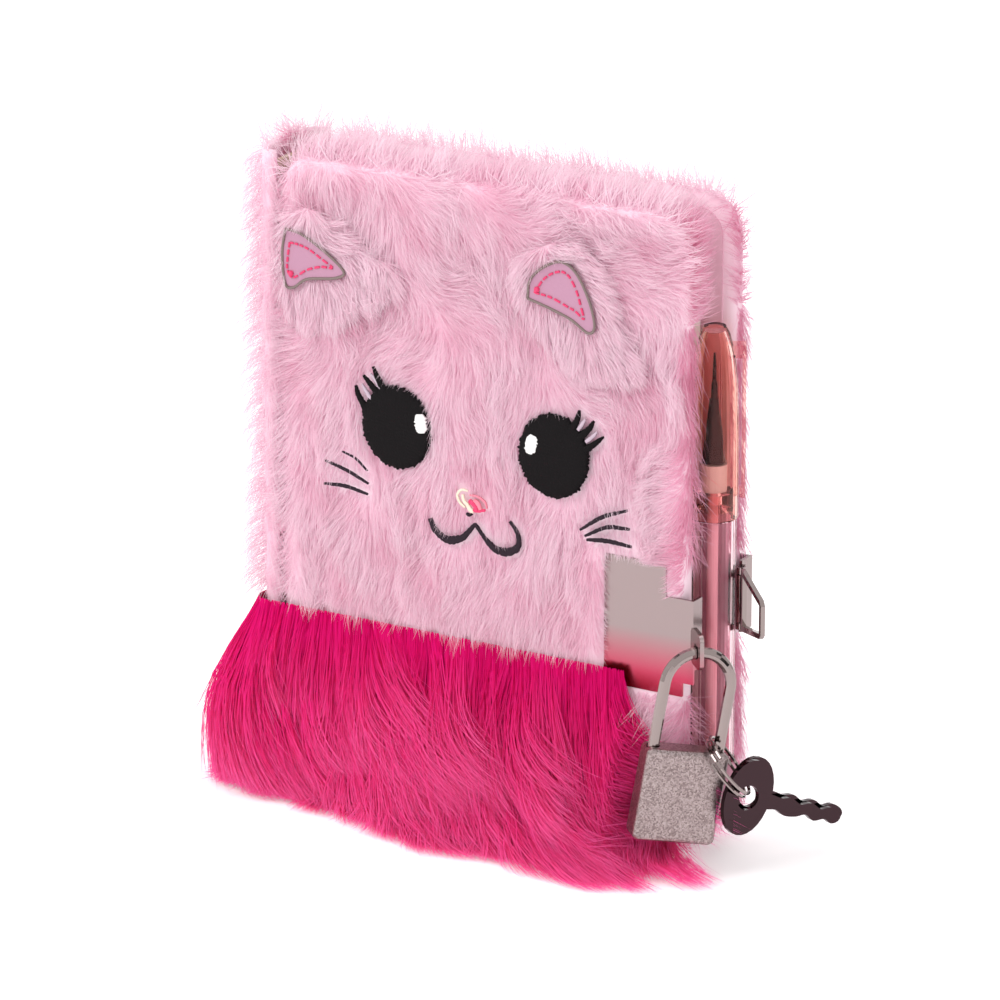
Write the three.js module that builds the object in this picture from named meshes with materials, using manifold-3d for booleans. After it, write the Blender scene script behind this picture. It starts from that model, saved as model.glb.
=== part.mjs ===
// Plush notebook with a clasp, padlock, keys and a capped pen, standing closed on its bottom edge.
// Millimetres, +Z up. X runs from the spine (-X) to the fore-edge (+X), the front cover faces -Y.
// The finished group is shifted so that the middle of its base lies at the origin.

import * as THREE from 'three';
import * as BufferGeometryUtils from 'three/addons/utils/BufferGeometryUtils.js';
import Module from 'manifold-3d';

const wasm = await Module();
wasm.setup();

// Clearances
const GAP = 0.3;              // between pieces that touch on the real notebook
const RUN = 0.2;              // running clearance round pins and plugs

// Pen, which sets the room between the covers
const BARREL_R = 5.6;
const BARREL_WALL = 1.0;
const CAP_STEP = 0.4;         // cap over barrel, on the radius
const CAP_WALL = 0.8;
const BARREL_BOTTOM = 12;
const CAP_LIP_Z = 84.6;
const CAP_LENGTH = 47;
const NECK_LENGTH = 6.6;      // barrel inside the cap
const TAIL_FLANGE = 2.2;
const TAIL_PLUG = 5.5;
const REFILL_R = 1.4;
const COLLAR_R = 3.4;
const COLLAR_LENGTH = 6.6;
const CONE_BASE_R = 2.85;
const CONE_TOP_R = 1.1;
const CONE_LENGTH = 15.5;
const NEEDLE_R = 0.55;
const NEEDLE_LENGTH = 11;
const CLIP_WIDTH = 3.6;
const CLIP_THICK = 0.9;
const CLIP_STAND = 0.5;
const CLIP_LENGTH = 36;
const CLIP_TURN = 31;         // degrees from +X towards +Y

// Elastic loop that holds the pen
const LOOP_WALL = 0.6;
const LOOP_BOTTOM = 14;
const LOOP_HEIGHT = 9.5;
const LOOP_TAIL = 17;
const LOOP_TAIL_T = 0.55;

// Leaves
const LEAF_W = 104.6;
const LEAF_H = 148;
const LEAF_SPINE_X = -53;
const LEAF_BOTTOM = 7;
const LEAF_SPLIT = 0.3;       // between the three bundles of leaves

// Covers, from inside to outside
const ENDPAPER_T = 0.4;
const BOARD_T = 1.8;
const FOAM_T = 1.2;
const PILE_T = 2.9;
const COVER_H = 162;
const EDGE_WRAP = 4;          // plush folded round the edges of the boards
const COVER_CORNER = 11;
const COVER_ROUND = 2.4;      // rounding of the outer edge
const PEN_OVERHANG = 2.3;     // cover fore-edge beyond the pen's axis
const COVER_SPINE_X = -54.2;
const HINGE_INSET = 1.3;      // the front cover turns in the groove beside the spine

// Spine
const SPINE_X = -61;
const SPINE_PILE = 3.8;
const SPINE_BOARD_T = 1.5;
const SPINE_BOARD_HALF = 11;
const SPINE_ROUND = 3;

// Fringe of long fur along the bottom
const FRINGE_TOP = 46;
const FRINGE_SWELL = 17;
const FRINGE_LIFT = 0.5;
const FRINGE_RIGHT = 43;
const FRINGE_SLOPE = 0.78;    // keeps the fringe clear of the spine when the cover opens
const SPINE_FRINGE_SWELL = 11.5;

// Front clasp plate
const SHEET = 0.8;
const PLATE_SINK = 0.6;       // plate face behind the plush face
const PLATE_LEFT = 36.8;
const PLATE_BOTTOM = 43;
const PLATE_TOP = 75.4;
const NOTCH_LEFT = 53.6;
const NOTCH_BOTTOM = 67.4;
const NOTCH_RETURN = 5.6;
const PLATE_STAND = 0.1;      // flange beyond the cover's fore-edge
const FLANGE_DEPTH = 4.2;
const FLANGE_BOTTOM = 50;
const TAB_BOTTOM = 52.4;
const TAB_TOP = 61.4;
const TAB_THICK = 1.0;
const TAB_HOLE_R = 2;
const TAB_CLEAR = 0.35;        // wire over the hole's lower edge
const TAB_RIM = 1.5;

// Back clasp plate and hasp
const BACK_PLATE_W = 20;
const BACK_PLATE_BOTTOM = 53.4;
const BACK_PLATE_TOP = 71.4;
const PIN_R = 0.6;
const PIN_STAND = 1.6;        // pin beyond the cover's fore-edge
const KNUCKLE_R = 1.2;
const HASP_Z = 62.7;
const HASP_LENGTH = 17.8;
const HASP_ROOT_HALF = 7.8;
const HASP_TIP_HALF = 4.6;
const HASP_CORNER = 1.2;
const HASP_BAR = 1.4;
const HASP_THICK = 1.1;
const HASP_TURN = -44;        // degrees from +X, as the hasp stands
const EAR_H = 1.6;

// Padlock
const LOCK_YAW = 45;
const LOCK_TILT = 10;
const WIRE_R = 1.4;
const ARCH_R = 8.1;
const SHACKLE_OUT = 25.2;       // top of the arch to the case
const CASE_W = 20.4;
const CASE_T = 7;
const CASE_H = 23;
const CASE_ROUND = 1.1;
const CASE_TO_COVER = 0.4;
const HANG_Z = 56.2;          // middle of the wire where it hangs in the tab
const HEEL_DEPTH = 14;
const TOE_DEPTH = 5.5;
const ROOF = 1.0;
const LATCH_T = 1.2;
const LATCH_W = 4.2;
const LATCH_BITE = 0.5;
const NOTCH_DROP = 2.0;
const PLUG_R = 2.8;
const CRANK_R = 1.6;
const CRANK_PIN_R = 0.6;
const KEYWAY_W = 4.6;
const KEYWAY_T = 1.9;
const KEYWAY_DEPTH = 15;

// Key ring and keys
const RING_R = 8;
const RING_WIRE_R = 0.42;
const RING_PITCH = 1.28;
const RING_TURNS = 2;
const KEY_T = 1.2;
const BOW_HALF_W = 7.2;
const BOW_HALF_H = 9.3;
const KEY_HOLE_HALF_W = 3.4;
const KEY_HOLE_HALF_H = 3;
const KEY_REACH = 31.5;       // hole to tip
const BLADE_H = 4.2;
const KEY_HEADING = 69;       // degrees from +X towards +Y
const KEY_DIP = 22;           // blade below level
const KEY_DROP = 1.0;         // key hole below the wire
const KEY_FRONT_ALONG = -0.5;   // hole from the wire, along the blade
const KEY_BACK_ALONG = 0.25;
const KEY_SPACING = 2.6;      // second key, along the ring's wire

// Face and ears
const STITCH_T = 0.7;
const MOUTH_W = 1.5;
const EAR_T = 1.7;
const PATCH_T = 0.5;
const EYE_DROP = 64.4;        // eyes' middle below the cover's top
const EYE_LEFT_X = -20.2;
const EYE_RIGHT_X = 23.5;
const EYE_HALF_W = 9.6;
const EYE_HALF_H = 10.4;
const MOUTH_DROP = 87;        // middle of the mouth below the cover's top
const NOSE_RISE = 6.4;        // nose above the middle of the mouth
const EAR_DROP = 16;          // corner of each ear below the cover's top
const EAR_LEFT_X = -53.4;
const EAR_RIGHT_X = 14.4;

// Worked out from the above
const capR = BARREL_R + CAP_STEP;
const loopR = BARREL_R + GAP + LOOP_WALL;
const innerFace = loopR + GAP;
const coverT = ENDPAPER_T + BOARD_T + FOAM_T + PILE_T + 3 * GAP;
const outerFace = innerFace + coverT;
const leafForeX = LEAF_SPINE_X + LEAF_W;
const penX = leafForeX + 2 * GAP + loopR;
const foreX = penX + PEN_OVERHANG;
const capTopZ = CAP_LIP_Z + CAP_LENGTH;
const neckTopZ = CAP_LIP_Z - GAP + NECK_LENGTH;
const plateFace = outerFace - PLATE_SINK;
const hingeX = COVER_SPINE_X - HINGE_INSET;
const plateForeX = foreX + PLATE_STAND;
const rad = THREE.MathUtils.degToRad;

// Padlock: the way its face looks, and the wire's place in the tab
const lockOut = new THREE.Vector3(Math.sin(rad(LOCK_YAW)), -Math.cos(rad(LOCK_YAW)), 0);
const coverCorner = new THREE.Vector3(foreX, -outerFace, 0);
const tabRoot = new THREE.Vector3(plateForeX, -plateFace, 0);
const tabToHole = CASE_T / 2 + CASE_TO_COVER + coverCorner.clone().sub(tabRoot).dot(lockOut);
const hang = tabRoot.clone().addScaledVector(lockOut, tabToHole).setZ(HANG_Z);
const archCentre = hang.clone().setZ(HANG_Z - ARCH_R);

// Materials

function material(color, roughness, metalness = 0, opacity = 1) {
  return new THREE.MeshStandardMaterial({ color, roughness, metalness, opacity, transparent: opacity < 1 });
}

const plush = material(0xf0c4d2, 0.95);
const fringeFur = material(0xeb3a86, 0.9);
const foam = material(0xf6f0ea, 0.95);
const board = material(0xb9a995, 0.9);
const paper = material(0xf7f4ee, 0.85);
const endpaper = material(0xf3d3de, 0.8);
const cloth = material(0xe9e2dc, 0.9);
const satin = material(0xdcc3d6, 0.45);
const blackThread = material(0x16110f, 0.7);
const greyThread = material(0x3b3436, 0.7);
const pinkThread = material(0xf2a3b6, 0.7);
const nickel = material(0xd0cbc6, 0.15, 1);
const glitterNickel = material(0xc4bebb, 0.45, 0.8);
const brass = material(0xb9964d, 0.35, 1);
const darkNickel = material(0x54484a, 0.2, 1);
const coralClear = material(0xf4746c, 0.1, 0, 0.6);
const inkTube = material(0xe8d5d8, 0.3);
const elastic = material(0xe7a9bd, 0.8);
const whitePlastic = material(0xe6e2e6, 0.4);

// Solids

function toManifold(geometry) {
  const bare = geometry.index ? geometry.toNonIndexed() : geometry.clone();
  bare.deleteAttribute('normal');
  bare.deleteAttribute('uv');
  const merged = BufferGeometryUtils.mergeVertices(bare, 1e-4);
  return new wasm.Manifold(new wasm.Mesh({
    numProp: 3,
    vertProperties: new Float32Array(merged.attributes.position.array),
    triVerts: new Uint32Array(merged.index.array),
  }));
}

function toGeometry(solid) {
  const out = solid.getMesh();
  const geometry = new THREE.BufferGeometry();
  geometry.setAttribute('position', new THREE.BufferAttribute(new Float32Array(out.vertProperties), 3));
  geometry.setIndex(new THREE.BufferAttribute(new Uint32Array(out.triVerts), 1));
  return geometry;
}

function cut(geometry, ...tools) {
  let solid = toManifold(geometry);
  for (const tool of tools) solid = solid.subtract(toManifold(tool));
  return toGeometry(solid);
}

function join(geometry, ...others) {
  let solid = toManifold(geometry);
  for (const other of others) solid = solid.add(toManifold(other));
  return toGeometry(solid);
}

function block(x0, x1, y0, y1, z0, z1) {
  const geometry = new THREE.BoxGeometry(x1 - x0, y1 - y0, z1 - z0);
  return geometry.translate((x0 + x1) / 2, (y0 + y1) / 2, (z0 + z1) / 2);
}

// A round bar along Z between two heights
function bar(radius, z0, z1, x = 0, y = 0, sides = 24) {
  const geometry = new THREE.CylinderGeometry(radius, radius, z1 - z0, sides);
  return geometry.rotateX(Math.PI / 2).translate(x, y, (z0 + z1) / 2);
}

// A closed profile of [radius, height] pairs turned about Z
function turned(profile, sides = 32) {
  const points = profile.map(([r, z]) => new THREE.Vector2(r, z));
  return new THREE.LatheGeometry(points, sides).rotateX(Math.PI / 2);
}

function roundedRect(x0, x1, z0, z1, radius) {
  const shape = new THREE.Shape();
  const quarter = Math.PI / 2;
  shape.moveTo(x0 + radius, z0);
  shape.lineTo(x1 - radius, z0);
  shape.absarc(x1 - radius, z0 + radius, radius, -quarter, 0);
  shape.lineTo(x1, z1 - radius);
  shape.absarc(x1 - radius, z1 - radius, radius, 0, quarter);
  shape.lineTo(x0 + radius, z1);
  shape.absarc(x0 + radius, z1 - radius, radius, quarter, 2 * quarter);
  shape.lineTo(x0, z0 + radius);
  shape.absarc(x0 + radius, z0 + radius, radius, 2 * quarter, 3 * quarter);
  return shape;
}

// A shape drawn in X and Z, given thickness along Y from y0 to y1
function plateOf(shape, y0, y1, curveSegments = 5) {
  const geometry = new THREE.ExtrudeGeometry(shape, { depth: y1 - y0, bevelEnabled: false, curveSegments });
  return geometry.rotateX(Math.PI / 2).translate(0, y1, 0);
}

// The same with its edge rounded on both sides
function pillowPlate(shape, y0, y1, round) {
  const options = {
    depth: y1 - y0 - 2 * round,
    bevelEnabled: true,
    bevelThickness: round,
    bevelSize: round,
    bevelOffset: -round,
    bevelSegments: 3,
    curveSegments: 6,
  };
  return new THREE.ExtrudeGeometry(shape, options).rotateX(Math.PI / 2).translate(0, y1 - round, 0);
}

// The same with its edge rounded on the -Y side only
function paddedPlate(shape, y0, y1, round) {
  const slab = pillowPlate(shape, y0, y1 + round, round);
  slab.computeBoundingBox();
  const { min, max } = slab.boundingBox;
  return cut(slab, block(min.x - 1, max.x + 1, y1, max.y + 1, min.z - 1, max.z + 1));
}

// A smooth closed outline through [x, z] points
function outline(points) {
  const curve = new THREE.CatmullRomCurve3(points.map(([x, z]) => new THREE.Vector3(x, z, 0)), true);
  const along = curve.getPoints(points.length * 4).slice(0, -1);
  return new THREE.Shape(along.map((p) => new THREE.Vector2(p.x, p.y)));
}

// Rings of points joined one to the next, with a fan over each end
function loft(rings) {
  const count = rings[0].length;
  const positions = [];
  const index = [];
  for (const ring of rings) for (const p of ring) positions.push(p.x, p.y, p.z);
  for (let i = 0; i + 1 < rings.length; i += 1) {
    for (let j = 0; j < count; j += 1) {
      const a = i * count + j;
      const b = i * count + (j + 1) % count;
      index.push(a, b, a + count, b, b + count, a + count);
    }
  }
  const ends = [[rings[0], 0, true], [rings.at(-1), (rings.length - 1) * count, false]];
  for (const [ring, start, flip] of ends) {
    const middle = positions.length / 3;
    const centre = ring.reduce((sum, p) => sum.add(p), new THREE.Vector3()).divideScalar(count);
    positions.push(centre.x, centre.y, centre.z);
    for (let j = 0; j < count; j += 1) {
      const next = start + (j + 1) % count;
      if (flip) index.push(middle, next, start + j);
      else index.push(middle, start + j, next);
    }
  }
  const geometry = new THREE.BufferGeometry();
  geometry.setAttribute('position', new THREE.Float32BufferAttribute(positions, 3));
  geometry.setIndex(index);
  return geometry;
}

// A round wire along a path
function wire(path, radius, sides, steps) {
  const section = new THREE.Shape();
  for (let i = 0; i < sides; i += 1) {
    const angle = (i / sides) * 2 * Math.PI;
    const x = radius * Math.cos(angle);
    const y = radius * Math.sin(angle);
    if (i === 0) section.moveTo(x, y);
    else section.lineTo(x, y);
  }
  return new THREE.ExtrudeGeometry(section, { steps, extrudePath: path, bevelEnabled: false });
}

const group = new THREE.Group();

function add(name, geometry, finish, parent = group) {
  const mesh = new THREE.Mesh(geometry, finish);
  mesh.name = name;
  parent.add(mesh);
  return mesh;
}

// Covers. Each layer is drawn for the front cover and mirrored in Y for the back one.

function mirrorY(geometry) {
  const mirrored = geometry.clone().scale(1, -1, 1);
  const index = mirrored.index ? Array.from(mirrored.index.array)
    : Array.from({ length: mirrored.attributes.position.count }, (_, i) => i);
  const turnedOver = [];
  for (let i = 0; i < index.length; i += 3) turnedOver.push(index[i], index[i + 2], index[i + 1]);
  return mirrored.setIndex(turnedOver);
}

function coverPlush() {
  const shape = roundedRect(COVER_SPINE_X, foreX, 0, COVER_H, COVER_CORNER);
  const slab = paddedPlate(shape, -outerFace, -innerFace, COVER_ROUND);
  const pocketBottom = outerFace - PILE_T;
  const pocket = roundedRect(COVER_SPINE_X + EDGE_WRAP - 1, foreX - EDGE_WRAP, EDGE_WRAP, COVER_H - EDGE_WRAP,
    COVER_CORNER - EDGE_WRAP);
  return cut(slab, plateOf(pocket, -pocketBottom, -innerFace + 1));
}

function coverLayer(nearest, thickness) {
  const x0 = COVER_SPINE_X + EDGE_WRAP - 1 + GAP;
  const shape = roundedRect(x0, foreX - EDGE_WRAP - GAP, EDGE_WRAP + GAP, COVER_H - EDGE_WRAP - GAP,
    COVER_CORNER - EDGE_WRAP - GAP);
  return plateOf(shape, -nearest - thickness, -nearest);
}

// The clasp's notch, right through the front cover
function coverNotch() {
  return block(NOTCH_LEFT - SHEET - GAP, foreX + 1, -outerFace - 1, 0, NOTCH_BOTTOM - GAP, PLATE_TOP + GAP);
}

function frontLayer(nearest, thickness) {
  return cut(coverLayer(nearest, thickness), coverNotch());
}

function frontPlush() {
  const seat = block(PLATE_LEFT - GAP, foreX + 1, -outerFace - 1, -plateFace + SHEET + GAP,
    PLATE_BOTTOM - GAP, PLATE_TOP + GAP);
  const foreSeat = block(plateForeX - SHEET - GAP, foreX + 1, -outerFace - 1, -plateFace + FLANGE_DEPTH + GAP,
    FLANGE_BOTTOM - GAP, NOTCH_BOTTOM + GAP);
  return cut(coverPlush(), seat, foreSeat, coverNotch());
}

function backPlush() {
  const seat = block(foreX - BACK_PLATE_W - GAP, foreX + 1, plateFace - SHEET - GAP, outerFace + 1,
    BACK_PLATE_BOTTOM - GAP, BACK_PLATE_TOP + GAP);
  return cut(mirrorY(coverPlush()), seat);
}

function addCovers() {
  const boardAt = innerFace + ENDPAPER_T + GAP;
  const foamAt = boardAt + BOARD_T + GAP;
  add('front_plush', frontPlush(), plush);
  add('front_foam', frontLayer(foamAt, FOAM_T), foam);
  add('front_board', frontLayer(boardAt, BOARD_T), board);
  add('front_endpaper', frontLayer(innerFace, ENDPAPER_T), endpaper);
  add('back_plush', backPlush(), plush);
  add('back_foam', mirrorY(coverLayer(foamAt, FOAM_T)), foam);
  add('back_board', mirrorY(coverLayer(boardAt, BOARD_T)), board);
  add('back_endpaper', mirrorY(coverLayer(innerFace, ENDPAPER_T)), endpaper);
}

// Spine: plush outside, a board behind it and a cloth lining glued to the leaves

function addSpine() {
  const plushInner = SPINE_X + SPINE_PILE;
  const round = new THREE.Shape();
  round.moveTo(plushInner, -outerFace);
  round.lineTo(plushInner, outerFace);
  round.lineTo(SPINE_X + SPINE_ROUND, outerFace);
  round.absarc(SPINE_X + SPINE_ROUND, outerFace - SPINE_ROUND, SPINE_ROUND, Math.PI / 2, Math.PI);
  round.lineTo(SPINE_X, -outerFace + SPINE_ROUND);
  round.absarc(SPINE_X + SPINE_ROUND, -outerFace + SPINE_ROUND, SPINE_ROUND, Math.PI, 1.5 * Math.PI);
  const options = { depth: COVER_H, bevelEnabled: false, curveSegments: 6 };
  add('spine_plush', new THREE.ExtrudeGeometry(round, options), plush);
  const boardX = plushInner + GAP;
  const liningX = boardX + SPINE_BOARD_T + GAP;
  add('spine_board', block(boardX, boardX + SPINE_BOARD_T, -SPINE_BOARD_HALF, SPINE_BOARD_HALF,
    EDGE_WRAP, COVER_H - EDGE_WRAP), board);
  add('spine_lining', block(liningX, LEAF_SPINE_X - GAP, leafFaces[0], leafFaces.at(-1),
    LEAF_BOTTOM, LEAF_BOTTOM + LEAF_H), cloth);
}

// Leaves: three bundles between the endpapers
const leafStart = -innerFace + GAP;
const leafEnd = innerFace - 2 * GAP - LOOP_TAIL_T;
const bundleT = (leafEnd - leafStart - 2 * LEAF_SPLIT) / 3;
const leafFaces = [leafStart, leafStart + bundleT + LEAF_SPLIT, leafEnd - bundleT, leafEnd];

function addLeaves() {
  const names = ['leaves_front', 'leaves_middle', 'leaves_back'];
  names.forEach((name, i) => {
    const y0 = leafFaces[i];
    const shape = roundedRect(LEAF_SPINE_X, leafForeX, LEAF_BOTTOM, LEAF_BOTTOM + LEAF_H, 2.5);
    add(name, plateOf(shape, y0, y0 + bundleT), paper);
  });
}

// Fringe: fur that hangs from a seam and swells out towards the floor

function fringeDepth(z, swell) {
  const down = (FRINGE_TOP - z) / (FRINGE_TOP - FRINGE_LIFT);
  return swell * Math.pow(Math.sin(down * 1.9), 0.8) + 1.0;
}

function fringeRing(place, swell, limit) {
  const levels = 9;
  const ring = [];
  for (let i = 0; i <= levels; i += 1) {
    const z = FRINGE_TOP - ((FRINGE_TOP - FRINGE_LIFT) * i) / levels;
    ring.push(place(Math.max(0.4, Math.min(limit, fringeDepth(z, swell))), z));
  }
  ring.push(place(0, FRINGE_LIFT));
  ring.push(place(0, FRINGE_TOP));
  return ring;
}

function frontFringe() {
  const start = COVER_SPINE_X + 0.2;
  const stations = 26;
  const rings = [];
  for (let i = 0; i <= stations; i += 1) {
    const x = start + ((FRINGE_RIGHT - start) * i) / stations;
    const toEnd = (FRINGE_RIGHT - x) / 9;
    const limit = Math.min(FRINGE_SLOPE * (x - hingeX), (FRINGE_SWELL + 2) * Math.sqrt(Math.min(1, toEnd)));
    const swell = FRINGE_SWELL * (1 + 0.06 * Math.sin(x / 5.2));
    rings.push(fringeRing((d, z) => new THREE.Vector3(x, -outerFace - GAP - d, z), swell, limit));
  }
  return loft(rings);
}

function spineFringe() {
  const y0 = -outerFace + 1;
  const y1 = outerFace - 4;
  const stations = 8;
  const rings = [];
  for (let i = 0; i <= stations; i += 1) {
    const y = y0 + ((y1 - y0) * i) / stations;
    const toEnd = Math.min(y - y0 + 2, y1 - y) / 6;
    const limit = (SPINE_FRINGE_SWELL + 2) * Math.sqrt(Math.min(1, toEnd));
    rings.push(fringeRing((d, z) => new THREE.Vector3(SPINE_X - GAP - d, y, z), SPINE_FRINGE_SWELL, limit));
  }
  return toGeometry(toManifold(loft(rings.reverse())));
}

// Face: raised embroidery and ears sewn on the plush

function stitched(shape, thickness, at = outerFace + GAP) {
  return paddedPlate(shape, -at - thickness, -at, thickness * 0.45);
}

function ellipse(x, z, halfW, halfH, turn = 0) {
  const shape = new THREE.Shape();
  shape.absellipse(x, z, halfW, halfH, 0, 2 * Math.PI, false, rad(turn));
  return shape;
}

const mouthZ = COVER_H - MOUTH_DROP;

function moved(points, x, z) {
  return points.map(([dx, dz]) => [x + dx, z + dz]);
}

function mouthShape() {
  const leftLip = [[-11.2, 2.2], [-10.3, -1.6], [-5.4, -3.7]];
  const rightLip = [[7.4, -3.4], [11.6, -3.6], [13, -0.4], [10.6, 3.6]];
  const points = [...leftLip, [0.9, 0.8], ...rightLip];
  const curve = new THREE.CatmullRomCurve3(points.map(([x, dz]) => new THREE.Vector3(x, mouthZ + dz, 0)));
  const steps = 24;
  const half = MOUTH_W / 2;
  const upper = [];
  const lower = [];
  for (let i = 0; i <= steps; i += 1) {
    const p = curve.getPoint(i / steps);
    const t = curve.getTangent(i / steps);
    upper.push(new THREE.Vector2(p.x - t.y * half, p.y + t.x * half));
    lower.push(new THREE.Vector2(p.x + t.y * half, p.y - t.x * half));
  }
  return new THREE.Shape(upper.concat(lower.reverse()));
}

function addFace() {
  const eyeZ = COVER_H - EYE_DROP;
  add('eye_left', stitched(ellipse(EYE_LEFT_X, eyeZ, EYE_HALF_W, EYE_HALF_H, 8), STITCH_T), blackThread);
  add('eye_right', stitched(ellipse(EYE_RIGHT_X, eyeZ, EYE_HALF_W, EYE_HALF_H, -6), STITCH_T), blackThread);
  const noseZ = mouthZ + NOSE_RISE;
  const nose = [[-3.6, 2.6], [0.4, 3.4], [4, 1.6], [3, -1.6], [0.4, -2.6], [-2.4, -1]];
  add('nose', stitched(outline(moved(nose, 0, noseZ)), STITCH_T), pinkThread);
  add('mouth', stitched(mouthShape(), STITCH_T), greyThread);
}

function addEars() {
  const earZ = COVER_H - EAR_DROP;
  const leftFlap = [[2.8, 0], [9.4, 2.6], [24.4, -6], [31.9, -8.4], [32.4, -13.4],
    [24.4, -19], [17.4, -23], [7.4, -25.5], [2.4, -18]];
  const rightFlap = [[0, 0], [13.6, 5.6], [20.6, -1.6], [25.6, -11], [30.4, -19],
    [31.4, -24.6], [16.6, -25.2], [5.6, -18], [-1, -8]];
  const leftPatch = [[3.6, -2.6], [8, -3.4], [14.6, -6.8], [20, -11], [17.4, -13], [9.6, -14.4],
    [5.8, -17], [3.4, -16.4], [2.6, -9]];
  const rightPatch = [[3.2, -9.8], [4, -5], [8, -1.2], [12.6, 0.4], [16.6, -2], [20, -8.2],
    [21.4, -14], [19.6, -15.8], [15, -13.2], [8.8, -11.2]];
  const patchAt = outerFace + GAP + EAR_T + GAP;
  add('ear_left', stitched(outline(moved(leftFlap, EAR_LEFT_X, earZ)), EAR_T), plush);
  add('ear_right', stitched(outline(moved(rightFlap, EAR_RIGHT_X, earZ)), EAR_T), plush);
  add('ear_patch_left', stitched(outline(moved(leftPatch, EAR_LEFT_X, earZ)), PATCH_T, patchAt), satin);
  add('ear_patch_right', stitched(outline(moved(rightPatch, EAR_RIGHT_X, earZ)), PATCH_T, patchAt), satin);
}

// Front clasp plate: sheet with a flange round the fore-edge and a tab with a hole for the padlock

function tabSolid() {
  const reach = tabToHole + TAB_HOLE_R + TAB_RIM;
  const shape = roundedRect(-0.5, reach, TAB_BOTTOM, TAB_TOP, 2);
  const holeZ = HANG_Z + TAB_HOLE_R - WIRE_R - TAB_CLEAR;
  const hole = new THREE.Path();
  hole.absellipse(tabToHole, holeZ, TAB_HOLE_R, TAB_HOLE_R, 0, 2 * Math.PI);
  shape.holes.push(hole);
  const tab = plateOf(shape, -TAB_THICK / 2, TAB_THICK / 2, 8);
  return tab.rotateZ(rad(LOCK_YAW - 90)).translate(tabRoot.x, tabRoot.y, 0);
}

function frontClasp() {
  const back = -plateFace + SHEET;
  const sheet = block(PLATE_LEFT, plateForeX, -plateFace, back, PLATE_BOTTOM, PLATE_TOP);
  const notch = block(NOTCH_LEFT, plateForeX + 1, -plateFace - 1, back + 1, NOTCH_BOTTOM, PLATE_TOP + 1);
  const bottomCorner = block(plateForeX - 3, plateForeX + 1, -plateFace - 1, back + 1, PLATE_BOTTOM - 1,
    FLANGE_BOTTOM - 3.5);
  const notchReturn = block(NOTCH_LEFT - SHEET, NOTCH_LEFT, -plateFace, -plateFace + NOTCH_RETURN,
    NOTCH_BOTTOM, PLATE_TOP);
  const flange = block(plateForeX - SHEET, plateForeX, -plateFace, -plateFace + FLANGE_DEPTH, FLANGE_BOTTOM,
    NOTCH_BOTTOM);
  return join(cut(sheet, notch, bottomCorner), notchReturn, flange, tabSolid());
}

// Back clasp plate: sheet, fore-edge flange and two ears for the hasp's pin
const pinX = foreX + PIN_STAND;
const pinY = innerFace + 0.1;

function backClasp() {
  const sheet = block(foreX - BACK_PLATE_W, foreX + GAP + SHEET, plateFace - SHEET, plateFace,
    BACK_PLATE_BOTTOM, BACK_PLATE_TOP);
  const flange = block(foreX + GAP, foreX + GAP + SHEET, pinY + KNUCKLE_R + GAP, plateFace,
    BACK_PLATE_BOTTOM, BACK_PLATE_TOP);
  const ears = [HASP_Z - HASP_ROOT_HALF, HASP_Z + HASP_ROOT_HALF - EAR_H].flatMap((z) => [
    bar(KNUCKLE_R, z, z + EAR_H, pinX, pinY),
    block(foreX + GAP, pinX + 0.4, pinY, pinY + KNUCKLE_R + 2 * GAP, z, z + EAR_H),
  ]);
  const bore = bar(PIN_R + RUN, BACK_PLATE_BOTTOM - 1, BACK_PLATE_TOP + 1, pinX, pinY);
  return cut(join(sheet, flange, ...ears), bore);
}

function haspRing() {
  const near = KNUCKLE_R + 0.5;
  const cornerR = HASP_LENGTH - HASP_CORNER;
  const outer = [[near, -HASP_ROOT_HALF], [cornerR, -HASP_TIP_HALF - 0.2], [HASP_LENGTH, -HASP_TIP_HALF + 1],
    [HASP_LENGTH, HASP_TIP_HALF - 1], [cornerR, HASP_TIP_HALF + 0.2], [near, HASP_ROOT_HALF]];
  const frame = new THREE.Shape(outer.map(([r, z]) => new THREE.Vector2(r, z)));
  const slope = (HASP_ROOT_HALF - HASP_TIP_HALF) / (HASP_LENGTH - near);
  const inNear = near + HASP_BAR;
  const inFar = HASP_LENGTH - HASP_BAR;
  const halfAt = (r) => HASP_ROOT_HALF - slope * (r - near) - HASP_BAR;
  frame.holes.push(new THREE.Path([[inNear, -halfAt(inNear)], [inFar, -halfAt(inFar)], [inFar, halfAt(inFar)],
    [inNear, halfAt(inNear)]].map(([r, z]) => new THREE.Vector2(r, z))));
  const sheet = plateOf(frame, -HASP_THICK / 2, HASP_THICK / 2);
  const barrelHalf = HASP_ROOT_HALF - EAR_H - GAP;
  const barrel = bar(KNUCKLE_R, -barrelHalf, barrelHalf);
  const web = block(0, near + 0.4, -HASP_THICK / 2, HASP_THICK / 2, -barrelHalf, barrelHalf);
  return cut(join(sheet, barrel, web), bar(PIN_R + RUN, -HASP_ROOT_HALF, HASP_ROOT_HALF));
}

function addClasp() {
  add('front_clasp_plate', frontClasp(), nickel);
  add('back_clasp_plate', backClasp(), nickel);
  const pinEnd = HASP_ROOT_HALF - 0.1;
  add('hasp_pin', bar(PIN_R, HASP_Z - pinEnd, HASP_Z + pinEnd, pinX, pinY), nickel);
  const hasp = add('hasp_ring', haspRing(), nickel);
  hasp.position.set(pinX, pinY, HASP_Z);
  hasp.rotation.z = rad(HASP_TURN);
}

// Pen: barrel and cap are clear shells, with the refill, collar and point inside

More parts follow.
